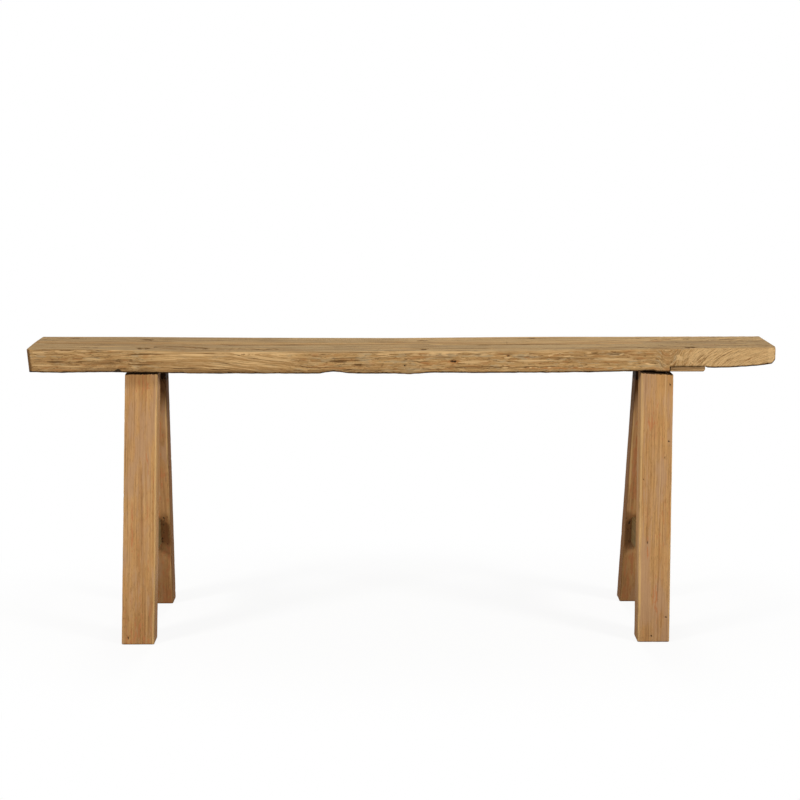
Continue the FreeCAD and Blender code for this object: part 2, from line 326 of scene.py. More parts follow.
def old_wood(name, tones, lively, relief_mm=0.5, along=None, marks=()):
    """A wood finish on the shared recipe. The marks and the fibre place come from the piece's points.

    A plain CAD node has no such points: then along turns its Object coordinates so that X follows the fibre,
    and marks holds a level for each mark that it shows.
    """
    material, graph, shader = new_material(name)
    wood = graph.node("ShaderNodeGroup", node_tree=OLD_WOOD)
    wood.inputs["Lively"].default_value = lively
    if along is None:
        graph.put(wood.inputs["Fibre"], graph.attribute("fibre", "Vector"))
        for mark in WOOD_MARKS:
            graph.put(wood.inputs[mark], graph.attribute(mark.lower()))
    else:
        turned = graph.node("ShaderNodeMapping", {"Vector": graph.place(), "Rotation": along})
        graph.put(wood.inputs["Fibre"], turned.outputs[0])
    for mark, level in dict(marks).items():
        wood.inputs[mark].default_value = level
    for tone, colour in zip(WOOD_TONES, tones):
        wood.inputs[tone].default_value = srgb(*colour)
    bump = graph.node("ShaderNodeBump", {"Height": wood.outputs["Height"], "Strength": WOOD_BUMP,
                                         "Distance": relief_mm * MM})
    graph.put(shader["Base Color"], wood.outputs["Color"])
    graph.put(shader["Roughness"], wood.outputs["Roughness"])
    graph.put(shader["Normal"], bump.outputs[0])
    shader["Specular IOR Level"].default_value = WOOD_SHINE
    return material


print("old wood takes", len(OLD_WOOD.interface.items_tree), "sockets")

# %% [markdown]
# ## Noise for shapes
#
# Worn wood is uneven at every scale. Value noise gives each point of a whole-number lattice a fixed random
# number and blends the four numbers round a place. It needs no random state, so every run is the same.


# %% Noise for shapes
def smooth(value, low, high):
    """Smoothstep: 0 below low, 1 above high, and 3t^2 - 2t^3 between."""
    t = np.clip((value - low) / (high - low), 0, 1)
    return t * t * (3 - 2 * t)


def window(value, low, high, soft):
    """1 between low and high, falling to 0 over the soft stretch at each side."""
    return smooth(value, low - soft, low + soft) * (1 - smooth(value, high - soft, high + soft))


def lattice(i, j, seed):
    """A fixed random number from -1 to 1 at each lattice point: the fraction of a large sine."""
    wave = np.sin(i * 127.1 + j * 311.7 + seed * 74.7) * 43758.5453
    return 2 * (wave - np.floor(wave)) - 1


def noise(u, v, seed):
    """Value noise: the lattice numbers at the four corners round (u, v), blended by smoothsteps."""
    u, v = np.broadcast_arrays(u, v)
    i, j = np.floor(u), np.floor(v)
    a, b = smooth(u - i, 0, 1), smooth(v - j, 0, 1)
    low = lattice(i, j, seed) * (1 - a) + lattice(i + 1, j, seed) * a
    high = lattice(i, j + 1, seed) * (1 - a) + lattice(i + 1, j + 1, seed) * a
    return low * (1 - b) + high * b


def rough(u, v, seed, octaves=4):
    """Fractal noise: octaves of value noise, each twice as fine and half as strong as the last."""
    return sum(noise(u * 2 ** k, v * 2 ** k, seed + k) / 2 ** k for k in range(octaves))


print("noise at one place:", round(float(noise(0.3, 0.7, 1)), 3))

# %% [markdown]
# ## Soft marks
#
# The traces of wear are a few simple shapes with soft edges: a round spot, a line through some points, and a
# streak that narrows to both ends. Weathered growth rings are many near-parallel lines at once, numbered by
# a value that rises across the board, so that whatever bends that value bends the lines.


# %% Soft marks
def spot(u, v, u0, v0, ru, rv):
    """A soft round mark: a bell, exp(-d^2), with d measured in the radii ru and rv."""
    return np.exp(-((u - u0) / ru) ** 2 - ((v - v0) / rv) ** 2)


def stroke(u, v, points, width):
    """A soft line through the points: exp(-d^2), with d the distance to the nearest run in widths."""
    nearest = np.full(np.broadcast(u, v).shape, np.inf)
    for (u0, v0), (u1, v1) in zip(points, points[1:]):
        du, dv = u1 - u0, v1 - v0
        t = np.clip(((u - u0) * du + (v - v0) * dv) / (du * du + dv * dv), 0, 1)
        nearest = np.minimum(nearest, np.hypot(u - u0 - t * du, v - v0 - t * dv))
    return np.exp(-(nearest / width) ** 2)


def streaks(u, v, lines):
    """The strongest of several soft streaks, each from (u, v) to (u, v) with a half width and a strength.

    A streak is a lens: a bell across its line, narrowing to both ends as the root of sin(pi share).
    """
    strongest = 0 * u
    for u0, v0, u1, v1, width, strength in lines:
        length = math.hypot(u1 - u0, v1 - v0)
        along_u, along_v = (u1 - u0) / length, (v1 - v0) / length
        share = ((u - u0) * along_u + (v - v0) * along_v) / length
        across = (u - u0) * along_v - (v - v0) * along_u
        lens = np.sqrt(np.maximum(np.sin(np.pi * np.clip(share, 0, 1)), 0))
        bell = np.exp(-(across / (width * np.maximum(lens, 0.05))) ** 2)
        strongest = np.maximum(strongest, strength * np.sqrt(lens) * bell)
    return strongest


def growth_lines(along, across, seed, spacing, fade=150.0):
    """Weathered growth rings, as grooves and ridges from 0 to 1.

    The phase is across / spacing with a slow wobble, and its whole part numbers the ring. In each ring a
    groove lies at 0.42 of the phase and a ridge at 0.64, both bells. Their strength is the ring's own random
    number, and comes and goes along the board over the fading length.
    """
    phase = across / spacing + 0.5 * noise(across / 23, along / 700, seed)
    ring = np.floor(phase)
    place = phase - ring
    strength = 0.7 + 0.3 * lattice(ring, seed, 3)
    strength = strength * smooth(noise(along / fade, ring * 7.31, seed + 5), -0.8, 0.3)
    strength = strength * (0.4 + 0.6 * smooth(noise(along / fade * 4.4, ring * 3.17, seed + 6), -0.5, 0.4))
    groove = strength * np.exp(-((place - 0.42) / 0.13) ** 2)
    ridge = strength * np.exp(-((place - 0.64) / 0.12) ** 2)
    return groove, ridge


print("one width from its middle a mark still has", round(float(spot(1, 0, 0, 0, 1, 1)), 2))

# %% [markdown]
# ## From rings of points to a closed piece
#
# Plank, legs, stretchers and strip are all a profile carried along a path, so one function can turn any of
# them into a mesh: it takes the profile's points at every step of the path, joins neighbours with quads and
# closes both ends on a pole. Values that the finish needs, such as where a crack runs, go on the points as
# attributes.


# %% Rings to mesh
def closed_mesh(name, rings, marks):
    """A mesh through rings of points in mm, shape (steps, points, 3). Each end closes on a pole."""
    steps, around, _ = rings.shape
    points = np.vstack([rings.reshape(-1, 3), rings[[0, -1]].mean(axis=1)]) * MM
    ids = np.arange(steps * around).reshape(steps, around)
    beside = np.roll(ids, -1, axis=1)
    quads = np.stack([ids[:-1], ids[1:], beside[1:], beside[:-1]], axis=-1).reshape(-1, 4)
    poles = np.broadcast_to(steps * around + np.arange(2)[:, None], (2, around))
    fans = np.stack([poles, [ids[0], beside[-1]], [beside[0], ids[-1]]], axis=-1).reshape(-1, 3)
    a, b, c, d = (points[quads[:, k]] for k in range(4))
    volume = np.einsum("ij,ij->", a, np.cross(b, c)) + np.einsum("ij,ij->", a, np.cross(c, d))
    if volume < 0:               # then the faces look inward
        quads, fans = quads[:, ::-1], fans[:, ::-1]
    mesh = bpy.data.meshes.new(name)
    mesh.vertices.add(len(points))
    mesh.vertices.foreach_set("co", points.astype(np.float32).ravel())
    mesh.loops.add(quads.size + fans.size)
    mesh.loops.foreach_set("vertex_index", np.concatenate([quads.ravel(), fans.ravel()]).astype(np.int32))
    starts = np.concatenate([np.arange(len(quads)) * 4, quads.size + np.arange(len(fans)) * 3])
    mesh.polygons.add(len(starts))
    mesh.polygons.foreach_set("loop_start", starts.astype(np.int32))
    mesh.update(calc_edges=True)
    mesh.shade_smooth()
    for mark, values in marks.items():
        kind, field = ("FLOAT_VECTOR", "vector") if values.ndim == 3 else ("FLOAT", "value")
        flat = values.reshape(steps * around, -1)
        flat = np.vstack([flat, values[[0, -1]].mean(axis=1).reshape(2, -1)])
        attribute = mesh.attributes.new(mark, kind, "POINT")
        attribute.data.foreach_set(field, flat.astype(np.float32).ravel())
    return mesh


def place_piece(name, mesh, material, node):
    """Puts a finished piece into the scene, in place of the CAD node that it dresses."""
    piece = bpy.data.objects.new(name, mesh)
    scene.collection.objects.link(piece)
    mesh.materials.append(material)
    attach(piece, "root")
    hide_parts(node)
    print(name, len(mesh.polygons), "faces")


print("ring tools ready")


# %% Rounded profile
def rounded_profile(low_u, high_u, low_v, high_v, radii, side_counts, corner_count):
    """A rounded rectangle, corner by corner from (low_u, low_v) up the low_u side and on round.

    The sizes and the four radii are columns, one row per step of a path. Returns u, v and the outward normal
    of every point: each corner is a quarter of r (cos a, sin a) about its centre, each side an even row.
    """
    corner_u = [low_u, low_u, high_u, high_u]
    corner_v = [low_v, high_v, high_v, low_v]
    inward_u, inward_v = [1, 1, -1, -1], [1, -1, -1, 1]
    arcs = []
    for k in range(4):
        angle = np.radians(270 - 90 * k) - np.linspace(0, np.pi / 2, corner_count)
        normal_u, normal_v = np.cos(angle), np.sin(angle)
        arc_u = corner_u[k] + radii[k] * (inward_u[k] + normal_u)
        arc_v = corner_v[k] + radii[k] * (inward_v[k] + normal_v)
        arcs.append(np.stack([arc_u, arc_v, normal_u + 0 * arc_u, normal_v + 0 * arc_u], axis=-1))
    parts = []
    for k in range(4):
        share = (np.arange(side_counts[k]) + 1)[None, :, None] / (side_counts[k] + 1)
        first, following = arcs[k][:, -1:], arcs[(k + 1) % 4][:, :1]
        parts += [arcs[k], first + share * (following - first)]
    return np.moveaxis(np.concatenate(parts, axis=1), -1, 0)


print("profile tool ready")

# %% [markdown]
# ## Cutting joints
#
# A mortise or a peg hole is a simple block or bar taken out of a finished piece, which is what the Boolean
# modifier does. Its result is read back as a plain mesh. The points that a cut adds have no marks yet, so
# they take those of the nearest point that had them.

# %% Cutting joints
DRILL_SIDES = 32
NEAR_CUT = 0.004                 # metres: how far round a cut its new points look for a neighbour


def drill(axis, low, high, centre, radius):
    """A round bar: circles r (cos a, sin a) about the centre, at low and high along one axis."""
    angle = np.linspace(0, 2 * np.pi, DRILL_SIDES, endpoint=False)
    rings = np.zeros((2, DRILL_SIDES, 3))
    rings[..., axis] = [[low], [high]]
    rings[..., (axis + 1) % 3] = centre[0] + radius * np.cos(angle)
    rings[..., (axis + 2) % 3] = centre[1] + radius * np.sin(angle)
    return closed_mesh("drill", rings, {})


def chisel(low_middle, low_half, high_middle, high_half):
    """A block between two level rectangles, each given by its middle and its half sizes along X and Y."""
    ways = np.array([[-1, -1, 0], [1, -1, 0], [1, 1, 0], [-1, 1, 0]])
    rings = np.stack([np.array(middle) + ways * np.array([*half, 0.0])
                      for middle, half in ((low_middle, low_half), (high_middle, high_half))])
    return closed_mesh("chisel", rings, {})


def cut_joints(mesh, cutters):
    """The mesh less each cutter, with the marks of the new points filled in from their neighbours."""
    work = bpy.data.objects.new("work", mesh)
    scene.collection.objects.link(work)
    bars = [bpy.data.objects.new("bar", cutter) for cutter in cutters]
    for bar in bars:
        scene.collection.objects.link(bar)
        cut = work.modifiers.new("cut", "BOOLEAN")
        cut.operation = "DIFFERENCE"
        cut.solver = "MANIFOLD"
        cut.object = bar
    bpy.context.view_layer.update()
    result = bpy.data.meshes.new_from_object(work.evaluated_get(bpy.context.evaluated_depsgraph_get()))
    for used in [work, *bars]:
        bpy.data.objects.remove(used)
    result.materials.clear()
    points = np.zeros(len(result.vertices) * 3, np.float32)
    result.vertices.foreach_get("co", points)
    points = points.reshape(-1, 3)
    fibre = np.zeros(points.size, np.float32)
    result.attributes["fibre"].data.foreach_get("vector", fibre)
    bare = ~fibre.reshape(-1, 3).any(axis=1)
    low, high = points[bare].min(axis=0) - NEAR_CUT, points[bare].max(axis=0) + NEAR_CUT
    old = np.flatnonzero(~bare & ((points > low) & (points < high)).all(axis=1))
    gaps = np.linalg.norm(points[bare][:, None] - points[old][None], axis=-1)
    source = np.arange(len(points))
    source[bare] = old[gaps.argmin(axis=1)]
    marks = ["fibre", *(name.lower() for name in WOOD_MARKS)]
    for mark in filter(result.attributes.get, marks):
        attribute = result.attributes[mark]
        field, width = ("vector", 3) if mark == "fibre" else ("value", 1)
        values = np.zeros(len(points) * width, np.float32)
        attribute.data.foreach_get(field, values)
        attribute.data.foreach_set(field, values.reshape(-1, width)[source].ravel())
    return result


print("cutting tools ready")

# %% [markdown]
# ## The plank: lines of the worn board
#
# The plank is the whole character of the bench. It has sagged, its front edge was never sawn straight, its
# underside is notched and scooped, and its right end is thinned from below. A sculptor would push these
# into a box by hand. Here each is a line along the board: how far the front edge stands out, how low the
# front of the underside hangs, how round the front arris is worn and how far the top falls towards it, at a
# few places read off the photograph.

# %% Lines of the plank
plank_low, plank_high = (np.array(corner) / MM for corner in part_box("seat_plank"))
strip_low, strip_high = (np.array(corner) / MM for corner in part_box("packing_strip"))
LEFT, RIGHT, SEAT_TOP = plank_low[0], plank_high[0], plank_high[2]
BACK = plank_high[1]
SAG = 2.7
THICKNESS = 42.0
STEP = strip_low[0] - 0.3        # where the underside steps up to make room for the strip
STEP_TOP = strip_high[2]
TIP_BEND, TIP_NOSE = RIGHT - 80.0, RIGHT - 7.0
TIP_HEIGHT = SEAT_TOP - 28.0
LEFT_CORNER, RIGHT_CORNER = 2.5, 6.5   # the front corners of the ends, worn round in plan

# Along the board, mm from its middle: how far the front edge stands out
FRONT_EDGE = [(LEFT, 69), (-478, 69), (-330, 73), (0, 73), (87, 71), (243, 69), (330, 68), (RIGHT, 68)]
# How low the front of the underside hangs: it is notched, bellies out, and steps up over the strip
FRONT_UNDERSIDE = [
    (LEFT, 467.4), (-618, 466.4), (-592, 466.2), (-523, 467.1), (-480, 467), (-350, 465.3), (-142, 465),
    (-132, 467.8), (-118, 468.8), (-104, 467.2), (-90, 465.2), (-12, 465), (0, 464.6), (14, 464.1),
    (30, 464.6), (48, 466.2), (162, 465.8), (170, 465.6), (327, 466.3), (401, 468.1), (440, 469.2),
    (443, 467), (STEP, 467.2), (STEP + 0.2, STEP_TOP), (strip_high[0], STEP_TOP),
    (strip_high[0] + 4, STEP_TOP - 1.8), (TIP_BEND, STEP_TOP - 2), (620, STEP_TOP + 1.6),
    (TIP_NOSE, TIP_HEIGHT - 1.6), (RIGHT, TIP_HEIGHT + 6)]
# How round the front top arris is worn
FRONT_ARRIS = [(LEFT, 3), (-488, 3.5), (-367, 8), (-246, 7), (-124, 6), (0, 6), (83, 7.5), (170, 6.5),
               (326, 7), (412, 4), (499, 3), (600, 3), (630, 6), (RIGHT, 9)]
# How far the top falls towards that edge, where most sitters wore it
FRONT_DROP = [(LEFT, 2.6), (-560, 2.8), (-450, 3.2), (-330, 4.8), (-200, 5.4), (-100, 4.6), (0, 3.2),
              (250, 2.8), (400, 1.6), (470, 0.8), (RIGHT, 0)]
# How much the back half of the top stands above the even sag
BACK_RISE = [(LEFT, 0), (-600, 0.3), (-480, 1), (-300, 0.3), (0, 0), (170, 1.5), (290, 1.6), (430, 0.9),
             (RIGHT, 0)]


def along(line, x):
    """A line of (x, value) places, with straight runs between them."""
    places, values = zip(*line)
    return np.interp(x, places, values)


def seat_top(x):
    """A shallow parabola, lowest in the middle."""
    return SEAT_TOP - SAG * (1 - (2 * x / (RIGHT - LEFT)) ** 2)


def underside(x):
    """Parallel to the top as far as the step, then level over the strip, then rising to the thin tip."""
    tip = np.interp(x, [STEP, TIP_BEND, TIP_NOSE, RIGHT], [STEP_TOP, STEP_TOP, TIP_HEIGHT, TIP_HEIGHT + 7])
    return np.where(x < STEP, seat_top(x) - THICKNESS, tip)


# The steps lie closer where the work is fine: x, reach and weight of the knots, notch, belly, step and ends
FINE_PLACES = [(LEFT, 12, 4), (-560, 90, 0.6), (-452, 22, 1.5), (-268, 16, 1.2), (-118, 28, 1.6),
               (0, 60, 0.7), (90, 12, 1.2), (183, 10, 1.2), (234, 12, 1), (STEP, 24, 2), (560, 75, 2),
               (RIGHT, 12, 5)]
STEPS = 376
ruler = np.linspace(LEFT, RIGHT, 13001)
density = 1 + sum(weight * np.exp(-((ruler - x) / reach) ** 2) for x, reach, weight in FINE_PLACES)
count = np.concatenate([[0], np.cumsum(density[1:])])
steps_x = np.interp(np.linspace(0, count[-1], STEPS), count, ruler)
steps_x = np.sort(np.concatenate([steps_x[np.abs(steps_x - STEP) > 0.5], [STEP - 0.15, STEP + 0.25]]))
print("steps along the plank:", len(steps_x), "from", np.diff(steps_x).min().round(2), "mm apart")

# %% Rings of the plank
SIDE_COUNTS = (44, 134, 18, 24)  # points on the front, the top, the back and the underside
CORNER_COUNT = 8
END_ROUND = 1.2
FRONT_SCOOP = 26.0               # how far in from the front the notches of the underside run
BACK_ARRISES = (2.6, 3.0)        # radii of the top and the bottom arris at the back
BACK_RISE_REACH = (-25.0, 60.0)  # the back half of the top rises between these two places
FALL_START, FALL_CURVE = 20.0, 1.4   # where the top starts to fall to the front, and how late it falls most

turn = np.linspace(0, np.pi / 2, 5)[:-1]
ease_x = END_ROUND * (1 - np.cos(turn))
column = np.concatenate([LEFT + ease_x, steps_x[1:-1], RIGHT - ease_x])
inset = np.concatenate([END_ROUND * (1 - np.sin(turn)), 0 * steps_x[1:-1], END_ROUND * (1 - np.sin(turn))])
order = np.argsort(column, kind="stable")
column, inset = column[order][:, None], inset[order][:, None]


def corner_wear(past, radius):
    """How far a quarter circle falls back, past its start by so much."""
    share = np.clip(past / radius, 0, 1)
    return radius * (1 - np.sqrt(1 - share ** 2))


front = along(FRONT_EDGE, column) + 0.5 * noise(column / 45, 0.0, 61)
front = front - corner_wear(LEFT + LEFT_CORNER - column, LEFT_CORNER)
front = front - corner_wear(column - RIGHT + RIGHT_CORNER, RIGHT_CORNER)
chips = 0.2 + 0.3 * noise(column / 12, 2.0, 65)
front_bottom = along(FRONT_UNDERSIDE, column) + chips
arris = along(FRONT_ARRIS, column) * (1 + 0.22 * noise(column / 22, 3.0, 62))
over_strip = window(column, STEP, strip_high[0] + 1, 0.6)
lower_arris = (1.8 + 0.7 * noise(column / 28, 5.0, 63)) * (1 - 0.55 * over_strip)
back = BACK - 0.3 - 0.3 * noise(column / 90, 1.0, 64)
radii = [lower_arris, arris, *(radius + 0 * column for radius in BACK_ARRISES)]
y, z, normal_y, normal_z = rounded_profile(-front, back, front_bottom, seat_top(column), radii,
                                           SIDE_COUNTS, CORNER_COUNT)
lift = (underside(column) - front_bottom) * smooth(y, -front, FRONT_SCOOP - front)
z += lift * smooth(-normal_z, 0.0, 0.2)
z += along(BACK_RISE, column) * smooth(y, *BACK_RISE_REACH) * smooth(normal_z, 0.0, 0.2)
forward = np.clip((FALL_START - y) / (FALL_START + front), 0, 1) ** FALL_CURVE
upward = np.clip((z - front_bottom) / (seat_top(column) - front_bottom), 0, 1)
z -= along(FRONT_DROP, column) * forward * upward
x = column + 0 * y
weight_top = np.clip(normal_z, 0, 1) ** 2
weight_front = np.clip(-normal_y, 0, 1) ** 2
weight_back = np.clip(normal_y, 0, 1) ** 2
weight_under = np.clip(-normal_z, 0, 1) ** 2
print("rings of", y.shape[1], "points")

# %% [markdown]
# ## The plank: grain
#
# On the top the growth rings run as near-parallel lines. They part round the knots, like water round a
# stone, and at the right end they fan out behind the root of a branch. A knot adds -d R^2 / r^2 to the ring
# number, which is how a stream parts. On the front face the rings run level, dip where the board was split
# off, and rise at the right end in ripples that are hyperbolas.

# %% Grain of the plank
TOP_KNOTS = [(-587, 53, 5.5), (-455, 34, 8), (-451, -51, 8), (38, 32, 7), (36, -56, 6.5), (503, -56, 7.5),
             (512, 37, 4), (234, 54, 4), (416, -51, 3.5)]
BRANCH = (462.0, 4.0)            # the root of the branch, on the top
BRANCH_FAN = (40.0, 110.0)       # how far before it the fan starts, and in what length its spacing doubles
BRANCH_CROWDING = 0.4            # how much closer they lie behind it
KNOT_STRETCH, KNOT_PUSH = 2.4, 0.3   # how far a knot is felt along the board, and how hard it pushes
DIP_START, DIP_END, DIP_SLOPE = -345.0, -160.0, 0.075
RIPPLE_START = 453.0             # the upright asymptote of the ripples
RIPPLE_RISE = 50.0               # the level one, above the top
RIPPLE_SCALE = 2.1
FRONT_RINGS, BACK_RINGS, RIPPLE_RINGS = -66.0, 90.0, 17.0   # the ring numbers that the faces start from
RINGS_DOWN = 0.8                 # how fast the ring number falls with the depth below the top


def top_grain(x, y):
    """The ring number on the top, in mm across the board.

    Round the branch it is a fan, d / (1 + past / length), with d the distance from the branch's line.
    """
    wander = 2.4 * noise(x / 290, y / 55, 21) + 0.9 * noise(x / 80, y / 22, 22)
    wander = wander + 0.35 * noise(x / 22, y / 9, 29)
    d = y - BRANCH[1] + wander
    past = x - BRANCH[0]
    swirl = smooth(past, -45, 40)
    ring = d * (1 + BRANCH_CROWDING * swirl) / (1 + np.maximum(past + BRANCH_FAN[0], 0) / BRANCH_FAN[1])
    ring = ring + swirl * 2.4 * rough(x / 42, y / 20, 23, 3)
    for knot_x, knot_y, radius in TOP_KNOTS:
        du, dv = (x - knot_x) / KNOT_STRETCH, y - knot_y
        ring = ring - dv * KNOT_PUSH * radius ** 2 / (du * du + dv * dv + 0.4 * radius ** 2)
    return ring


def front_grain(x, z):
    """The ring number on the front face: it falls with the depth below the top, and dips along one stretch.

    Past the step it is the hyperbola -sqrt((x - start) (depth + rise)), scaled.
    """
    depth = seat_top(x) - z
    drift = 3.0 * noise(x / 160, depth / 60, 24) + 1.3 * noise(x / 50, depth / 14, 25)
    drift = drift + 0.5 * noise(x / 16, depth / 6, 39)
    dip = DIP_SLOPE * (np.clip(x, DIP_START, DIP_END) - DIP_START)
    straight = FRONT_RINGS - RINGS_DOWN * depth + dip + drift
    ripple = RIPPLE_SCALE * np.sqrt(np.maximum(x - RIPPLE_START, 0) * (depth + RIPPLE_RISE))
    ripple = RIPPLE_RINGS - ripple + 1.2 * noise(x / 30, depth / 12, 26)
    return straight + smooth(x, STEP - 22, STEP + 26) * (ripple - straight)


grain_top = top_grain(x, y)
grain_front = front_grain(x, z)
grain_back = BACK_RINGS - RINGS_DOWN * (seat_top(x) - z) + 3 * noise(x / 170, z / 30, 27)
grain_under = y + 3 * noise(x / 240, y / 50, 28)
ring_number = (weight_top * grain_top + weight_front * grain_front
               + weight_back * grain_back + weight_under * grain_under)
print("ring numbers from", ring_number.min().round(), "to", ring_number.max().round())

# %% [markdown]
# ## The plank: what time has done to it
#
# Grooves and ridges come from the rings. Cracks, gouges, nail holes and stains sit where the photograph has
# them, each a soft stroke, streak or spot. Grooves, cracks and holes go both into the shape, as a depth in
# millimetres, and into marks that the finish reads, so that a dark line is also a real groove. Stains are
# marks only.

# %% Places of the marks on the top
TOP_LINES = [  # from x, to x, ring number, width, strength
    (-640, -478, 30.5, 1.1, 0.8), (-440, 22, 30, 1.2, 0.9), (-318, -212, 39, 1.5, 1.0),
    (-258, -190, 56, 1.9, 0.7), (-322, -158, -22, 2.0, 0.9), (-610, -395, 10.5, 1.3, 0.9),
    (-390, -120, 9.6, 1.2, 0.85), (-60, 190, 9.8, 1.2, 0.85), (-640, -300, -14.5, 1.4, 0.95),
    (-330, 60, -13.4, 1.4, 1.0), (60, 425, -14, 1.3, 0.95), (122, 236, -19, 1.4, 1.0),
    (262, 345, 50, 1.5, 0.95), (278, 322, -36, 1.2, 0.8), (215, 240, -71.5, 1.6, 0.8),
    (330, 380, -71, 1.7, 0.9), (190, 400, 20, 1.1, 0.8), (-130, 160, -30, 1.1, 0.7)]
TOP_CRACKS = [  # points, width, strength as a dark line, strength as a black crack
    ([(-649, 36), (-636, 34), (-622, 34)], 1.6, 0.9, 0.7), ([(-649, 30), (-632, 29)], 1.3, 0.9, 0.5),
    ([(-488, 31), (-470, 30), (-456, 33)], 1.5, 0.8, 0.4),
    ([(-415, -36), (-378, -33), (-358, -40), (-337, -46), (-318, -44)], 2.2, 0.9, 0.6),
    ([(-318, -44), (-293, -47), (-267, -46), (-240, -51), (-222, -48)], 1.7, 0.9, 0.4),
    ([(228, 58), (233, 54), (239, 50)], 2.2, 0.9, 0.6),
    ([(448, -23), (449, -30), (459, -39), (471, -45), (484, -47.5)], 1.4, 0.95, 0.45),
    ([(486, 3), (489, -7), (497, -12), (543, -20)], 1.3, 0.85, 0.3),
    ([(380, 25), (414, 26), (428, 33), (451, 46), (472, 49), (488, 46)], 1.2, 0.7, 0.1),
    ([(382, 37), (417, 43), (451, 62), (474, 70)], 1.2, 0.7, 0.1),
    ([(446, 22), (452, 31), (461, 38), (475, 42)], 1.8, 0.9, 0.4),
    ([(455, 18), (466, 26), (478, 33), (482, 30)], 1.4, 0.8, 0.3),
    ([(531, 11), (554, 20), (577, 31), (601, 38), (648, 48)], 1.3, 0.8, 0.25),
    ([(524, 4), (566, 5), (584, 8), (612, 22), (648, 29)], 1.3, 0.7, 0.1),
    ([(508, -26), (566, -40), (648, -53)], 1.3, 0.65, 0.1),
    ([(560, -2), (600, 1), (648, 4)], 1.2, 0.65, 0.1),
    ([(540, -28), (590, -36), (648, -40)], 1.2, 0.55, 0.0),
    ([(548, 34), (590, 50), (640, 62)], 1.2, 0.55, 0.0),
    ([(492, 22), (520, 30), (548, 46), (572, 66)], 1.2, 0.55, 0.0),
    ([(412, -48), (417, -53), (420, -48)], 1.2, 0.8, 0.3)]
TOP_TORN = [(-432, -38), (-405, -34), (-378, -35), (-361, -41), (-337, -46), (-293, -46), (-240, -50),
            (-218, -47)]
TOP_PATCH_ENDS = [  # short lines across the grain
    [(-239, -53), (-239.5, -72)], [(-43, -51), (-44, -72)], [(186, 16), (185.5, -8)], [(438, 11), (439, -3)]]
# Stains, as streaks: from x and y, to x and y, half width, strength
TOP_GREY = [(439, 12, 438, -3, 2.2, 0.9), (436, -12, 434, -33, 3.0, 0.9), (352, 2, 368, -2, 6, 0.6),
            (560, 54, 600, 60, 9, 0.6), (556, -18, 604, -22, 5, 0.7), (-380, 24, -330, 26, 3, 0.5)]
TOP_WARM = [(438, 14, 486, 38, 9, 1.0), (462, 30, 500, 46, 5, 0.7), (440, 4, 470, 12, 6, 0.7),
            (-648, 2, -642, 4, 6, 0.8), (300, -6, 432, -8, 2.5, 0.7), (-480, -10, -200, -11, 2.5, 0.6),
            (-60, 9, 180, 8, 3, 0.5), (-395, -30, -330, -41, 6, 0.6)]
BAND = (-10.5, 12.0, 432.0)      # the smooth light band along the middle: from y, to y, to x
print("top has", len(TOP_LINES), "dark lines,", len(TOP_CRACKS), "cracks and", len(TOP_KNOTS), "knots")

# %% Marks on the top
wobble_x = x + 1.6 * noise(x / 14, y / 9, 31)
wobble_y = y + 1.1 * noise(x / 17, y / 8, 32)
band = window(y, BAND[0], BAND[1], 1.5) * (1 - smooth(x, BAND[2] - 12, BAND[2] + 4))

groove, ridge = growth_lines(x, grain_top, 11, 6.3, 420.0)
fine_groove, fine_ridge = growth_lines(x, grain_top, 12, 3.3, 300.0)
behind_branch = smooth(x, BRANCH[0] + 20, BRANCH[0] + 110)
off_band = 1 - 0.75 * band
top_groove = np.maximum(1.2 * groove, fine_groove) * off_band * (1 - 0.45 * behind_branch)
top_ridge = np.maximum(1.15 * ridge, 0.95 * fine_ridge) * off_band
for from_x, to_x, number, width, strength in TOP_LINES:
    waver = 1 + 0.35 * noise(x / 24, number, 33)
    line = window(x, from_x + 9, to_x - 9, 9) * np.exp(-((grain_top - number) / (width * waver)) ** 2)
    top_groove = np.maximum(top_groove, strength * line)
top_crack = 0 * x
for points, width, line_strength, crack_strength in TOP_CRACKS:
    line = stroke(wobble_x, wobble_y, points, width) * (0.8 + 0.2 * noise(x / 9, y / 9, 37))
    top_groove = np.maximum(top_groove, line_strength * line)
    top_crack = np.maximum(top_crack, crack_strength * line)
for points in TOP_PATCH_ENDS:
    top_groove = np.maximum(top_groove, 0.6 * stroke(wobble_x, wobble_y, points, 1.4))
top_knot = 0 * x
for knot_x, knot_y, radius in TOP_KNOTS:
    reach = np.hypot((wobble_x - knot_x) / 1.5, wobble_y - knot_y) / radius
    specks = smooth(noise(x / 3.2, y / 2.2, 38), -0.35, 0.45)
    top_knot = np.maximum(top_knot, (1 - smooth(reach, 0.7, 1.5)) * (0.5 + 0.5 * specks))
    top_crack = np.maximum(top_crack, 0.4 * (1 - smooth(reach, 0.6, 1.25)) * specks)
ticks = smooth(noise((x + y) / 8, (y - 0.4 * x) / 2.4, 73), 0.2, 0.75) * behind_branch
top_groove = np.maximum(top_groove, 0.55 * ticks)
torn = stroke(wobble_x, wobble_y, TOP_TORN, 5.2)
shreds = noise(x / 9, y / 2.3, 39)
top_groove = np.maximum(top_groove, torn * (0.5 + 0.45 * smooth(shreds, -0.2, 0.4)))
top_crack = np.maximum(top_crack, 0.42 * torn * smooth(shreds, 0.2, 0.7))
top_pale = 0.9 * torn * smooth(-shreds, 0.15, 0.6)
top_grey = np.maximum(streaks(wobble_x, wobble_y, TOP_GREY), 0.5 * torn)
top_warm = np.maximum(streaks(wobble_x, wobble_y, TOP_WARM), 0.4 * top_knot)
top_warm = np.maximum(top_warm, 0.3 * smooth(rough(x / 90, y / 13, 55, 3), 0.1, 1.0))
right_half = smooth(x, -60, 60)
top_light = 0.16 + 0.24 * band * smooth(x, -480, -300) + 0.24 * right_half * smooth(y, 8, 20)
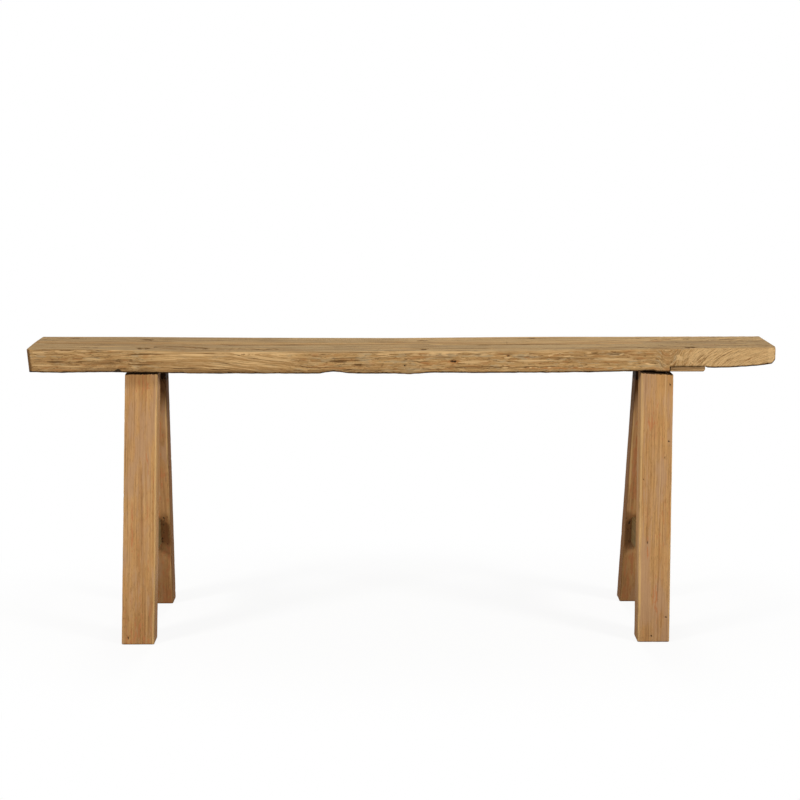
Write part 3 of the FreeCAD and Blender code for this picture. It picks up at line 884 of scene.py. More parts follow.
top_shade = 0.05 + 0.17 * (1 - smooth(x, -440, -140)) * (1 - band * smooth(x, -520, -340))
right_shade = 0.12 + 0.16 * np.exp(-((y - BRANCH[1]) / 16) ** 2)
top_shade = top_shade + right_shade * smooth(x, 400, 500) * (1 - smooth(y, 8, 24))
top_depth = 0.4 * top_groove - 0.12 * top_ridge + 1.2 * top_crack + 0.3 * top_knot
top_depth = top_depth + 0.06 * rough(x / 40, grain_top / 1.6, 35, 2) + 0.12 * (1 + noise(x / 150, y / 45, 36))
print("top worn by", top_depth.min().round(2), "to", top_depth.max().round(2), "mm")

# %% Places of the marks on the front face
# Streaks: from x and z, to x and z, half width, strength
FRONT_PALE = [
    (-604, 505, -566, 505, 1.6, 0.9), (-558, 505, -536, 505, 1.4, 0.9), (-505, 505, -484, 505, 1.5, 0.8),
    (-570, 499, -541, 498, 1.6, 0.8), (-550, 492, -510, 490, 1.6, 0.9), (-645, 481, -600, 480, 2.6, 0.9),
    (-600, 480, -540, 478, 2.0, 0.7), (-642, 502, -615, 500, 3.0, 0.8), (-412, 498, -292, 498, 1.8, 0.5),
    (-296, 504, -259, 504, 2.0, 1.0), (-335, 491, -240, 483, 2.2, 0.5), (-295, 497, -180, 487, 1.8, 0.5),
    (-250, 493, -190, 489, 1.8, 0.5), (-165, 484, -135, 484, 3.0, 0.5), (-150, 478, -105, 477, 1.8, 0.55),
    (-49, 499, -12, 497, 4.5, 0.6), (10, 498, 35, 498, 2.4, 0.9), (95, 485, 152, 486, 2.6, 0.7),
    (188, 487, 262, 487, 2.6, 0.7), (326, 491, 400, 490, 2.4, 0.8), (176, 493, 187, 493, 2.8, 1.0),
    (173, 476, 184, 476, 2.3, 1.0), (249, 497, 260, 497, 1.8, 0.9), (280, 495, 291, 495, 1.8, 0.9),
    (420, 484, 437, 480, 2.0, 0.9), (474, 496, 488, 488, 3.5, 0.7)]
FRONT_DARK = [
    (-645, 506.5, -600, 506.5, 0.9, 0.8), (-592, 506.5, -566, 506.5, 0.9, 0.8),
    (-532, 506.5, -478, 507, 0.9, 0.8), (-618, 486, -582, 486, 1.6, 0.9), (-568, 486, -535, 486, 1.5, 0.9),
    (-501, 488, -489, 487, 2.2, 0.7), (-480, 481, -430, 480, 3.0, 0.6), (-474, 499, -410, 500, 1.1, 0.9),
    (-404, 475, -344, 475, 2.0, 0.8), (-643, 490, -616, 486, 4.5, 0.5), (-286, 499, -261, 500, 1.2, 0.9),
    (-332, 487, -262, 481, 1.6, 0.4), (-280, 494, -200, 486, 1.5, 0.4), (-260, 482, -190, 476, 1.6, 0.4),
    (-334, 474, -298, 473, 1.8, 0.7), (-180, 497, -124, 494, 4.0, 0.5), (-134, 494, -90, 487, 3.6, 0.52),
    (-127, 486, -92, 486, 1.6, 1.0), (-83, 481, -68, 481, 2.2, 0.6), (-105, 472, -80, 472, 1.2, 0.8),
    (40, 497, 100, 499, 1.5, 0.4), (60, 494, 98, 494, 1.4, 0.4), (48, 477, 400, 476, 0.9, 0.8),
    (192, 494, 238, 494, 2.0, 0.4), (356, 499, 384, 499, 1.5, 0.9), (370, 487, 400, 486, 1.4, 0.5)]
FRONT_GREY = [
    (-640, 497, -616, 496, 2.5, 0.8), (-72, 503, -53, 478, 7.0, 0.55), (36, 498, 105, 498, 5.0, 0.8),
    (116, 497, 159, 497, 2.6, 0.8), (188, 495, 242, 495, 4.0, 0.9), (-8, 474, 50, 474, 5.0, 0.55),
    (437, 478, 461, 478, 7.0, 0.55), (352, 499, 386, 499, 2.2, 0.8)]
FRONT_WARM = [
    (-614, 472, -555, 472, 1.6, 0.9), (-572, 491, -548, 491, 1.8, 0.7), (-296, 503, -258, 503, 2.4, 0.6),
    (-146, 476, -84, 475, 1.6, 0.7), (32, 484, 54, 484, 2.4, 0.8), (76, 486, 102, 486, 3.6, 0.8),
    (184, 474, 404, 473, 2.6, 0.7), (178, 497, 188, 497, 1.6, 0.9), (366, 488, 402, 487, 3.0, 0.5)]
# Nail holes and worm holes: x, z, radius
FRONT_HOLES = [(-495, 470.5, 3.6), (-257, 505, 2.0), (-72, 505, 2.2), (-14, 505, 2.0), (-42, 491, 1.5),
               (6, 480, 1.9), (86, 486.5, 2.2), (92, 486, 2.2), (-583, 469, 1.8), (183, 496, 1.4)]
FRONT_CRACK = [(400, 489.5), (410, 487.5), (419, 486.5), (430, 484), (442, 482)]
# How much darker the front face is along its lower edge, along the board
FRONT_EDGE_DARKENING = [(LEFT, 0), (-575, 0.1), (-540, 0.8), (-460, 0.5), (-380, 1.0), (-300, 1.0), (-240, 0.8),
                   (-140, 0.4), (-90, 0.3), (20, 0.5), (60, 0.1), (RIGHT, 0)]
SPECK_LINE = (204.0, 408.0, 476.0)   # from x, to x, at z: pale specks where the lower edge was split off
print("front has", len(FRONT_PALE) + len(FRONT_DARK), "streaks and", len(FRONT_HOLES), "holes")

# %% Marks on the front face
wobble_z = z + 1.2 * noise(x / 15, z / 7, 41)
wobble_x = x + 2.2 * noise(x / 19, z / 11, 42)
ripples = smooth(x + 12 * noise(x / 25, z / 10, 54), STEP - 6, STEP + 44)
groove, ridge = growth_lines(x, grain_front, 13, 5.6)
ripple_groove, ripple_ridge = growth_lines(0 * x, grain_front, 17, 5.0)
fine_groove, fine_ridge = growth_lines(x, grain_front, 14, 3.0)
dark = streaks(wobble_x, wobble_z, FRONT_DARK)
calm_part = window(x, -430, -190, 25)
front_groove = np.maximum(0.38 * groove, 0.38 * fine_groove) * (1 - 0.5 * calm_part)
front_groove = np.maximum(front_groove, dark)
front_groove = np.maximum(front_groove * (1 - 0.5 * ripples), 0.75 * ripple_groove * ripples)
front_ridge = np.maximum(0.4 * ridge, 0.42 * fine_ridge) * (1 - 0.5 * ripples)
front_ridge = np.maximum(front_ridge, 0.9 * ripple_ridge * ripples)
front_crack = 0.6 * stroke(wobble_x, wobble_z, FRONT_CRACK, 1.0)
for hole_x, hole_z, radius in FRONT_HOLES:
    front_crack = np.maximum(front_crack, spot(wobble_x, wobble_z, hole_x, hole_z, 1.3 * radius, radius))
specks = smooth(noise(x / 4, z / 2.5, 52), 0.1, 0.5) * np.exp(-((z - SPECK_LINE[2]) / 1.8) ** 2)
specks = specks * window(x, *SPECK_LINE[:2], 8)
front_pale = np.maximum(streaks(wobble_x, wobble_z, FRONT_PALE), 0.9 * specks)
front_grey = streaks(wobble_x, wobble_z, FRONT_GREY)
flecks = noise(x / 5.5, z / 2.2, 71)
front_pale = np.maximum(front_pale, 1.1 * front_grey * smooth(flecks, 0.1, 0.55))
front_groove = np.maximum(front_groove, 0.55 * front_grey * smooth(-flecks, 0.15, 0.6))
front_warm = np.maximum(streaks(wobble_x, wobble_z, FRONT_WARM), 0.4 * front_grey)
gnarl = rough(x / 45, z / 9, 44, 4)
front_depth = 0.35 * front_groove - 0.2 * front_ridge + 1.6 * front_crack + 0.35 * dark - 0.2 * front_pale
front_depth = front_depth + 0.15 * (1 + gnarl) + 0.1 * rough(x / 14, z / 2.5, 45, 2)
print("front worn by", front_depth.min().round(2), "to", front_depth.max().round(2), "mm")

# %% Marks on the back and the underside
back_groove, ridge = growth_lines(x, grain_back, 15, 6.0)
back_depth = 0.4 * back_groove - 0.15 * ridge + 0.15 * (1 + rough(x / 70, z / 14, 46, 3))
saw = 0.5 + 0.5 * np.sin(x / 2.9 + 1.5 * noise(x / 80, y / 40, 47))
under_groove, _ = growth_lines(x, grain_under, 16, 7.0)
under_depth = 0.3 * under_groove + 0.2 * saw + 0.1 * (1 + rough(x / 60, y / 20, 48, 3))
depth = (weight_top * top_depth + weight_front * front_depth
         + weight_back * back_depth + weight_under * np.maximum(under_depth, 0))
print("plank worn by", depth.mean().round(2), "mm on the whole")

# %% [markdown]
# ## The plank: ends and finish
#
# Neither end is square: the right end's front corner lies a little inside its back one, and the left end
# leans in towards its foot. Both moves fade out along the board. The end grain is a few rings that shrink to
# the middle of the end. Last come the mortises and the nail holes, cut from below.

# %% Shell and ends of the plank
LEFT_LEAN, RIGHT_SKEW = 3.2, 0.5
SKEW_REACH = 60.0
END_ARCS = 420.0                 # the height at which the arcs of the end grain stand upright
CAP_SHARES = np.array([0.985, 0.93, 0.8, 0.6, 0.4, 0.2])   # rings of an end face, as shares of its outline

across_share = (BACK - y) / (2 * BACK)
depth_share = np.clip((seat_top(x) - z) / THICKNESS, 0, 1)
left_move = (1 - smooth(x, LEFT, LEFT + SKEW_REACH)) * LEFT_LEAN * depth_share
right_move = smooth(x, RIGHT - SKEW_REACH, RIGHT) * RIGHT_SKEW * across_share
depth = depth + inset
worn_z = np.minimum(z - depth * normal_z, SEAT_TOP)
shell = np.stack([x + left_move - right_move, y - depth * normal_y, worn_z], axis=-1)


def end_cap(ring, outward):
    """Rings that shrink to the middle of an end: the end grain, a little hollow and rough."""
    share = CAP_SHARES[:, None, None]
    middle = ring.mean(axis=0)
    cap = middle + share * (ring - middle)
    hollow = 0.35 * (1 - share[..., 0]) * (1 + noise(cap[..., 1] / 6, cap[..., 2] / 6, 49))
    cap[..., 0] -= outward * hollow
    return cap


def with_caps(values, cap_value=None):
    """A mark for all rings: the caps repeat the end rings, or hold a value of their own."""
    caps = len(CAP_SHARES)
    ends = [values[:1], values[-1:]] if cap_value is None else [np.full((1, values.shape[1]), cap_value)] * 2
    return np.concatenate([np.repeat(ends[0], caps, axis=0), values, np.repeat(ends[1], caps, axis=0)])


rings = np.concatenate([end_cap(shell[0], -1)[::-1], shell, end_cap(shell[-1], 1)])
is_cap = with_caps(0 * x, 1.0)
end_grain = 0.9 * rings[..., 1] + 0.006 * (rings[..., 2] - END_ARCS) ** 2
ring_all = with_caps(ring_number) * (1 - is_cap) + end_grain * is_cap
fibre = np.stack([rings[..., 0], ring_all, rings[..., 2] + rings[..., 1]], axis=-1) * MM
print("shell of", len(shell), "rings, and", len(rings), "with its ends")

# %% Finish marks of the plank
front_arris = np.clip(4 * weight_top * weight_front, 0, 1) * (1 - smooth(x, 415, 445))
rubbed = front_arris * (0.2 + 0.2 * smooth(x, -40, 10)) + 0.4 * np.clip(4 * weight_top * weight_back, 0, 1)
rubbed = rubbed * (0.4 + 0.6 * smooth(noise(x / 30, y / 20, 50), -0.6, 0.5)) * smooth(x, -460, -400)
# painted shade on the lower front arris and in a line along the foot of the front face, blacker over the
# strip
lower_arris_shade = np.clip(5 * weight_front * weight_under, 0, 1) * (0.7 + 0.3 * noise(x / 16, 4.0, 53))
above_edge = z - front_bottom
edge_shade_line = weight_front * (1 - smooth(above_edge, 2.0, 4.0)) * (1 - 0.5 * over_strip)
edge_darkening = weight_front * along(FRONT_EDGE_DARKENING, x) * (1 - smooth(above_edge, 4.5, 9.0))
edge_darkening = edge_darkening * (0.7 + 0.4 * noise(x / 30, z / 2.5, 74))
left_part = 1 - smooth(x, -520, -420)
left_end = (1 - smooth(x, LEFT + 2, LEFT + 7)) * weight_front
right_end = window(x, RIGHT - 13, RIGHT - 4, 3) * weight_front
right_edge = smooth(x, RIGHT - 3, RIGHT - 0.5)
face_groove = np.maximum(front_groove, 0.3 * left_part + 0.16 * ripples)
face_pale = 0.9 * front_ridge + 0.8 * front_pale + 0.4 * ripples + 0.24 * calm_part + 0.06
face_mottle = 1.0 - 0.55 * calm_part - 0.5 * ripples
face_calm = 0.75 * calm_part + 0.35 * window(x, 30, 440, 40)
face_shade = 0.18 * left_part + 0.35 * left_end + 0.3 * right_edge
top_mottle = 0.35 + 0.35 * smooth(x, 400, 470)

groove = (weight_top * np.maximum(top_groove, 0.9 * top_knot) + weight_front * face_groove
          + 0.6 * weight_back * back_groove + 0.5 * weight_under * under_groove
          + 0.85 * lower_arris_shade + 0.7 * left_end)
crack = (weight_top * top_crack + weight_front * front_crack + 0.3 * left_end + 0.5 * edge_shade_line
         + lower_arris_shade * (0.3 + 0.4 * over_strip))
pale = (weight_top * (0.8 * top_ridge + top_pale + top_light) + weight_front * face_pale
        + rubbed + 0.45 * right_end)
# the top is greyed by weathering, and a little more as a painted sheen
grey = (weight_top * np.maximum(0.6 - 0.34 * band, top_grey) + weight_front * front_grey
        + 0.35 * weight_back + 0.4 * weight_under)
warm = weight_top * top_warm + weight_front * np.maximum(front_warm, 0.2 * left_part)
mottle = weight_top * top_mottle + weight_front * face_mottle + 0.5 * weight_back + 0.4 * weight_under
calm = weight_front * face_calm + 0.5 * weight_top * band
shade = (weight_top * top_shade + weight_front * face_shade + 0.7 * lower_arris_shade
         + np.maximum(edge_shade_line, 0.95 * edge_darkening))
plank_marks = {
    "fibre": fibre,
    "groove": with_caps(groove, 0.2),
    "crack": with_caps(np.clip(crack, 0, 1), 0.0),
    "pale": with_caps(np.clip(pale, 0, 1), 0.2),
    "grey": with_caps(grey, 0.4),
    "warm": with_caps(warm, 0.2),
    "mottle": with_caps(mottle, 0.4),
    "calm": with_caps(calm),
    "end": np.maximum(with_caps(shade), 0.7 * is_cap),
}
plank_mesh = closed_mesh("plank", rings, plank_marks)
print("plank", len(plank_mesh.polygons), "faces, underside from", shell[..., 2].min().round(1), "mm")

# %% Mortises and finish of the plank
LEG_TENON = (30.0, 20.0, 26.0)   # along the bench, front to back, and up into the plank
TENON_ARRIS = 0.6
TENON_CLEARANCE = 0.2
MORTISE_END_GAP = 0.4
OVERCUT = 5.0
PAIRS, ROWS = ("left", "right"), ("front", "back")
mounts = {mount["name"]: np.array(mount["pos_m"]) / MM for mount in frame["record"]["mounts"]}


def leg_line(row, pair):
    """The middle line of a leg, as a function that gives its place at a height."""
    foot = mounts[f"foot_{row}_{pair}"]
    wedge = sum(np.array(corner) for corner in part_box(f"tenon_wedge_{row}_{pair}")) / 2 / MM
    return lambda height: foot + (wedge - foot) * (height / wedge[2])


LEGS = {(row, pair): leg_line(row, pair) for row in ROWS for pair in PAIRS}
SHOULDER = {legs: float(underside(line(SEAT_TOP)[0])) for legs, line in LEGS.items()}
nail_low, nail_high = (np.array(corner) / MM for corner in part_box("strip_nails"))
NAIL_X = (nail_low[0] + nail_high[0]) / 2
NAIL_HEAD = (nail_high[0] - nail_low[0]) / 2
NAIL_SHANK, NAIL_HEAD_DEPTH = 1.6, 1.6
NAIL_YS = (nail_low[1] + NAIL_HEAD, nail_high[1] - NAIL_HEAD)
CUT_CLEARANCE = 0.05

mortise_half = (LEG_TENON[0] / 2 + TENON_CLEARANCE, LEG_TENON[1] / 2 + TENON_CLEARANCE)
cutters = []
for legs, line in LEGS.items():
    low, high = SHOULDER[legs] - OVERCUT, SHOULDER[legs] + LEG_TENON[2] + MORTISE_END_GAP
    cutters.append(chisel(line(low), mortise_half, line(high), mortise_half))
cutters += [drill(2, nail_low[2], nail_high[2] + CUT_CLEARANCE, (NAIL_X, nail_y), NAIL_SHANK + CUT_CLEARANCE)
            for nail_y in NAIL_YS]
SEAT_TONES = [(192, 152, 99), (171, 132, 84), (98, 69, 39), (180, 156, 118), (170, 116, 67), (218, 180, 127)]
seat_wood = old_wood("seat_wood", SEAT_TONES, 0.75)
place_piece("plank", cut_joints(plank_mesh, cutters), seat_wood, "seat_plank")

# %% [markdown]
# ## Legs
#
# Each leg is a squared post that leans, so its profile is a level rounded rectangle that slides along the
# leg's line. The arrises are rubbed pale and nicked, the faces keep the faint waves of the plane, and the
# feet are scuffed. At the top the profile narrows to the tenon. The fibre runs up the post, and the growth
# rings are circles about a pith that lies outside it, which makes the grain of neighbouring faces agree.
# The back legs are darker: painted shade, with some grime, lies where the plank and the front legs shelter
# them, and a painted shadow of the stretcher, with some stains, lies round its joint.

# %% Sizes and marks of the legs
LEG_HALF = (27.75, 20.0)         # half sizes along the bench and front to back
LEG_ARRIS = 2.4
# Steps near the foot and the shoulder, and how far the outline draws in there to round the edge
FOOT_STEPS, FOOT_EASE = [0, 0.4, 1.2], [1.3, 0.5, 0.1]
SHOULDER_STEPS, SHOULDER_EASE = np.array([-0.9, -0.2, 0]), [0.1, 0.45, 0.9]
FIBRE_SHIFT = 900.0              # mm between the fibre places of two seeds, so that no two pieces look alike
LEG_COUNTS, LEG_CORNERS, LEG_STEPS = (30, 44, 30, 44), 7, 170
# What hand work added to each leg, or took off: on the left side at the foot and the top, then on the right
LEG_TRIM = {("front", "left"): (0.7, 0.7, 0.7, 0.7), ("front", "right"): (-0.6, -0.6, 1.0, 1.0),
            ("back", "left"): (0.0, 0.0, 2.0, 2.0), ("back", "right"): (-2.2, -5.2, 0.0, 0.0)}
# An old shoulder stands a little off the plank: the gap at the left and at the right side of each leg
SHOULDER_GAP = {("front", "left"): (3.6, 3.0), ("front", "right"): (1.4, 5.2), ("back", "left"): (1.0, 1.0),
                ("back", "right"): (1.0, 1.0)}
PITH = {("front", "left"): (-75, 48), ("front", "right"): (88, 40), ("back", "left"): (30, -85),
        ("back", "right"): (-52, 70)}
# Dark spots on the front faces: from the middle of the leg, height, half width, half height
LEG_SPOTS = {
    ("front", "right"): [(16, 319, 1.5, 3.2), (-21, 282, 1.1, 1.6), (-12, 172, 1.6, 4.5), (21, 43, 3.0, 1.4),
                         (-3, 11, 2.2, 2.0), (23, 445, 1.4, 1.4), (23, 347, 2.4, 1.6)],
    ("front", "left"): [(1, 122, 0.8, 6.0), (-17, 12, 3.0, 2.0), (-9, 190, 0.7, 7.0)]}
# Reddish streaks on the front faces: from the middle of the leg and height, to the same, half width, strength
LEG_STREAKS = {
    ("front", "left"): [(-13, 250, -12, 128, 2.4, 0.5), (1, 466, 3, 410, 3.4, 0.5),
                        (-4, 440, 24, 440, 3.0, 0.5), (14, 250, 18, 190, 4.0, 0.4),
                        (10, 330, 14, 290, 6.0, 0.4), (20, 70, 22, 20, 2.4, 0.55)],
    ("front", "right"): [(-8, 420, -5, 340, 8.0, 0.42), (14, 250, 16, 150, 5.0, 0.4),
                         (2, 120, 6, 20, 9.0, 0.45), (-12, 190, -11, 130, 2.2, 0.5)],
    ("back", "left"): [(8, 330, 6, 250, 8.0, 0.6), (12, 95, 14, 20, 7.0, 0.5)],
    ("back", "right"): [(-14, 330, -10, 200, 9.0, 0.6), (-8, 110, -6, 40, 9.0, 0.55)]}
LEG_TOP_SHADE = {"left": 0.42, "right": 0.06}   # how dull the legs are just below the plank
# a painted shadow of the stretcher, with some stains, darkens the back legs between these heights
STRETCHER_SHADOW_AND_STAIN = (117.0, 177.0)     # heights between which the back legs are dark round the stretcher
# Painted shade: how much darker a back leg is than a front one, and how much more at its foot
BACK_SHADE = {"left": (0.2, 0.3), "right": (0.42, 0.08)}
print("legs have", sum(map(len, LEG_SPOTS.values())), "dark spots")


# %% Leg shape
def leg_profile(legs, seed):
    """The bare shape of a leg: level rounded rectangles up its line, and the narrower tenon on the shoulder.

    Returns u, v and the outward normal of each point, its height w, which rings are tenon, and how far each
    point lies from the nearest arris and below the top of the post.
    """
    shoulder = SHOULDER[legs]
    tenon_end = shoulder + LEG_TENON[2]
    body = np.linspace(2.5, shoulder - 2.5, LEG_STEPS)
    height = np.concatenate([FOOT_STEPS, body, shoulder + SHOULDER_STEPS])
    ease = np.concatenate([FOOT_EASE, 0 * body, SHOULDER_EASE])
    height = np.concatenate([height, [shoulder, tenon_end - 1, tenon_end]])[:, None]
    is_tenon = (np.arange(len(height)) >= len(ease))[:, None]
    ease = np.concatenate([ease, [0, 0, 0.8]])[:, None]
    left_foot, left_top, right_foot, right_top = LEG_TRIM[legs]
    up = np.clip(height / shoulder, 0, 1)
    post_left = LEG_HALF[0] + left_foot + (left_top - left_foot) * up
    post_right = LEG_HALF[0] + right_foot + (right_top - right_foot) * up
    half_left = np.where(is_tenon, LEG_TENON[0] / 2, post_left) - ease
    half_right = np.where(is_tenon, LEG_TENON[0] / 2, post_right) - ease
    half_v = np.where(is_tenon, LEG_TENON[1] / 2, LEG_HALF[1]) - ease
    radii = [np.where(is_tenon, TENON_ARRIS, LEG_ARRIS * (1 + 0.3 * noise(height / 32, k, seed)))
             for k in range(4)]
    u, v, normal_u, normal_v = rounded_profile(-half_left, half_right, -half_v, half_v, radii,
                                               LEG_COUNTS, LEG_CORNERS)
    gap_left, gap_right = SHOULDER_GAP[legs]
    gap = gap_left + (gap_right - gap_left) * (u / LEG_HALF[0] + 1) / 2
    w = height - gap * smooth(height, shoulder - 40, shoulder) * (height < shoulder + 1)
    from_arris = np.maximum(np.minimum(half_left + u, half_right - u), half_v - np.abs(v))
    return u, v, normal_u, normal_v, w, is_tenon, from_arris, shoulder - gap - w


def back_leg_shade_and_grime(pair, seed, u, v, w, below_top, facing, inner_side):
    """What a back leg has more than a front one: painted black shade, painted shade and grime, each from 0
    up.

    Painted shade with some grime hangs below the plank, thickest on the sheltered sides, and a painted
    shadow of the stretcher, with some stains, lies round its joint.
    """
    sheltered = np.clip(facing + inner_side, 0, 1)
    grime_and_shade = 1 - smooth(below_top + 9 * noise(w / 11, (u + v) / 9, seed + 9), 26, 72)
    grime_and_shade = grime_and_shade * (0.35 + 0.65 * sheltered)
    stretcher_shadow_and_stain = facing * window(w + 7 * noise(w / 12, u / 9, seed + 10), *STRETCHER_SHADOW_AND_STAIN, 9)
    black_shade_and_grime = np.maximum(0.28 * grime_and_shade, 0.3 * stretcher_shadow_and_stain)
    black_shade_and_grime = np.maximum(black_shade_and_grime, 1.1 * sheltered * (1 - smooth(below_top, 16, 42)))
    everywhere, low_down = BACK_SHADE[pair]
    # painted shade: darker all over, at the foot, below the plank, round the stretcher and on the inner side
    shade = everywhere + low_down * (1 - smooth(w, 70, 125)) + 0.68 * grime_and_shade + 0.68 * stretcher_shadow_and_stain + 0.75 * inner_side
    return black_shade_and_grime, shade, grime_and_shade


print("rings and points of a leg:", leg_profile(("front", "left"), 100)[0].shape)


# %% Leg surfaces
def leg_mesh(legs, seed):
    """A leg: its bare shape, pushed in by grooves, nicks, plane waves and spots, with its finish marks."""
    row, pair = legs
    u, v, normal_u, normal_v, w, is_tenon, from_arris, below_top = leg_profile(legs, seed)
    pith_u, pith_v = PITH[legs]
    ring = np.hypot(u - pith_u, v - pith_v) + 2.5 * noise(w / 380, (u + v) / 60, seed + 1)
    ring = ring + 0.8 * noise(w / 110, (u - v) / 22, seed + 2)
    groove, ridge = growth_lines(w, ring, seed + 3, 4.4)
    edge = np.exp(-(from_arris / 3.1) ** 2)
    corner = np.sign(u) + 3 * np.sign(v)
    nick = edge * smooth(noise(w / 8, corner * 7.7, seed + 4), 0.55, 0.95)
    facing = np.clip(-normal_v, 0, 1) ** 2
    crack = 0 * u
    for spot_u, spot_w, half_width, half_height in LEG_SPOTS.get(legs, []):
        crack = np.maximum(crack, 0.85 * facing * spot(u, w, spot_u, spot_w, half_width, half_height))
    planed = np.sin(w / 6.5 + 2.5 * noise(w / 60, (u + v) / 30, seed + 5))
    worn = 0.14 * groove - 0.06 * ridge + 0.1 * rough(w / 60, ring / 7, seed + 6, 3) + 0.04 * planed
    worn = np.where(is_tenon, 0.0, worn + 0.8 * nick + 1.0 * crack)

    inner = 1.0 if pair == "left" else -1.0
    inner_side = np.clip(normal_u * inner, 0, 1) ** 2
    front_inner = smooth(u * inner, 0, 20) * smooth(-v, 0, 15)
    rub = edge * (0.5 + 0.5 * front_inner) * (0.85 + 0.15 * noise(w / 40, corner * 3.1, seed + 7))
    scuff = 1 - smooth(w + 16 * noise(w / 14, (u + v) / 12, seed + 8), 0, 130)
    sole = 1 - smooth(w, 0.6, 3.0)
    # painted black shade: the top of the post turns black as the shadow in the shoulder gap
    black_shade_and_grime = 1 - smooth(below_top + 0.7 * noise(u / 3, v / 3, seed + 9), 0.3, 2.2)
    shade = 0.2 * scuff + LEG_TOP_SHADE[pair] * (1 - smooth(below_top, 12, 30)) + 0.3 * sole
    # painted shade on the inner sides, low down
    shade = shade + 0.5 * inner_side * (1 - smooth(w, 60, 150))
    ruddy = 0.12
    if row == "back":
        more_black_shade_and_grime, more_shade, grime_and_shade = back_leg_shade_and_grime(pair, seed, u, v, w, below_top, facing, inner_side)
        black_shade_and_grime = np.maximum(black_shade_and_grime, more_black_shade_and_grime)
        shade = shade + more_shade
        rub = 0.6 * rub * (1 - grime_and_shade)
        ruddy = 0.3
    patch = rough(w / 75, (u + 1.3 * v) / 20, seed + 11, 3)
    marks = {
        "fibre": np.stack([w + FIBRE_SHIFT * seed, ring, u + v], axis=-1) * MM,
        "groove": 0.42 * groove + 0.4 * nick + 0.5 * sole,
        # the tenon is painted black, as the shadow inside the shoulder gap
        "crack": np.where(is_tenon, 1.0, np.maximum(crack, 0.9 * black_shade_and_grime)),
        "pale": np.clip(1.2 * rub + 0.35 * ridge, 0, 1),
        "grey": np.clip(0.3 + 0.5 * patch + 0.1 * scuff, 0, 1),
        "warm": np.maximum(streaks(u, w, LEG_STREAKS[legs]) * facing, ruddy - 0.25 * patch),
        "mottle": 0.42 + 0.15 * scuff,
        "end": np.clip(shade, 0, 1),
    }
    line = LEGS[legs]
    middle = line(0.0) + (line(1.0) - line(0.0)) * w[..., None]
    offset = np.stack([u - worn * normal_u, v - worn * normal_v, 0 * u], axis=-1)
    return closed_mesh("leg", middle + offset, marks)


print("leg shoulders at", [round(top, 1) for top in SHOULDER.values()], "mm")

# %% Leg joints and finish
STRETCHER_TENON = (12.0, 34.0, 27.0)   # thickness, height, and length into the leg
WEDGE_BUTT, WEDGE_TIP, WEDGE_LENGTH, WEDGE_CLEARANCE = 4.5, 1.2, 18.0, 0.1
stretcher_box = {pair: [np.array(corner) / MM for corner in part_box(f"stretcher_{pair}")] for pair in PAIRS}


def leg_cutters(legs):
    """What comes out of a leg: the slot for its wedge, the stretcher's mortise and the peg hole."""
    row, pair = legs
    line = LEGS[legs]
    tenon_end = SHOULDER[legs] + LEG_TENON[2]
    flare = (WEDGE_BUTT - WEDGE_TIP) / WEDGE_LENGTH
    tip_half = WEDGE_TIP / 2 + WEDGE_CLEARANCE
    mouth_half = WEDGE_BUTT / 2 + WEDGE_CLEARANCE + flare * OVERCUT / 2
    across = LEG_TENON[1] / 2 + OVERCUT
    slot = chisel(line(tenon_end - WEDGE_LENGTH), (tip_half, across),
                  line(tenon_end + OVERCUT), (mouth_half, across))
    low, high = stretcher_box[pair]
    middle = (low + high) / 2
    inward = 1.0 if row == "front" else -1.0
    end = (low if row == "front" else high)[1] - inward * MORTISE_END_GAP
    face = line(middle[2])[1] + inward * (LEG_HALF[1] + OVERCUT)
    half = (STRETCHER_TENON[0] / 2 + TENON_CLEARANCE, abs(face - end) / 2)
    half_height = STRETCHER_TENON[1] / 2 + TENON_CLEARANCE
    floor_place = (middle[0], (face + end) / 2, middle[2] - half_height)
    roof_place = (middle[0], (face + end) / 2, middle[2] + half_height)
    mortise = chisel(floor_place, half, roof_place, half)
    peg_low, peg_high = (np.array(corner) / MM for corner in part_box(f"peg_{row}_{pair}"))
    outer = np.array([-OVERCUT, MORTISE_END_GAP] if pair == "left" else [-MORTISE_END_GAP, OVERCUT])
    ends = np.array([peg_low[0], peg_high[0]]) + outer
    radius = (peg_high[2] - peg_low[2]) / 2 + CUT_CLEARANCE
    hole = drill(0, *ends, ((peg_low + peg_high) / 2)[1:], radius)
    return [slot, mortise, hole]


LEG_TONES = [(196, 148, 92), (178, 131, 80), (104, 68, 36), (184, 145, 109), (184, 118, 74), (218, 176, 118)]
leg_wood = old_wood("leg_wood", LEG_TONES, 0.5, 0.35)
for number, legs in enumerate(LEGS):
    row, pair = legs
    mesh = cut_joints(leg_mesh(legs, 100 + 20 * number), leg_cutters(legs))
    place_piece(f"{row}_{pair}_leg", mesh, leg_wood, f"leg_{row}_{pair}")

# %% [markdown]
# ## Stretchers
#
# A stretcher is a short board between the legs of a pair. The legs slope, so its ends are cut to their
# slope: every point of the profile runs from the inner face of one leg to that of the other at its own
# height. Beyond each shoulder the profile narrows to the tenon.

# %% Stretchers
STRETCHER_HALF = (12.0, 25.0)
STRETCHER_COUNTS, STRETCHER_CORNERS, STRETCHER_STEPS = (26, 12, 26, 12), 6, 70


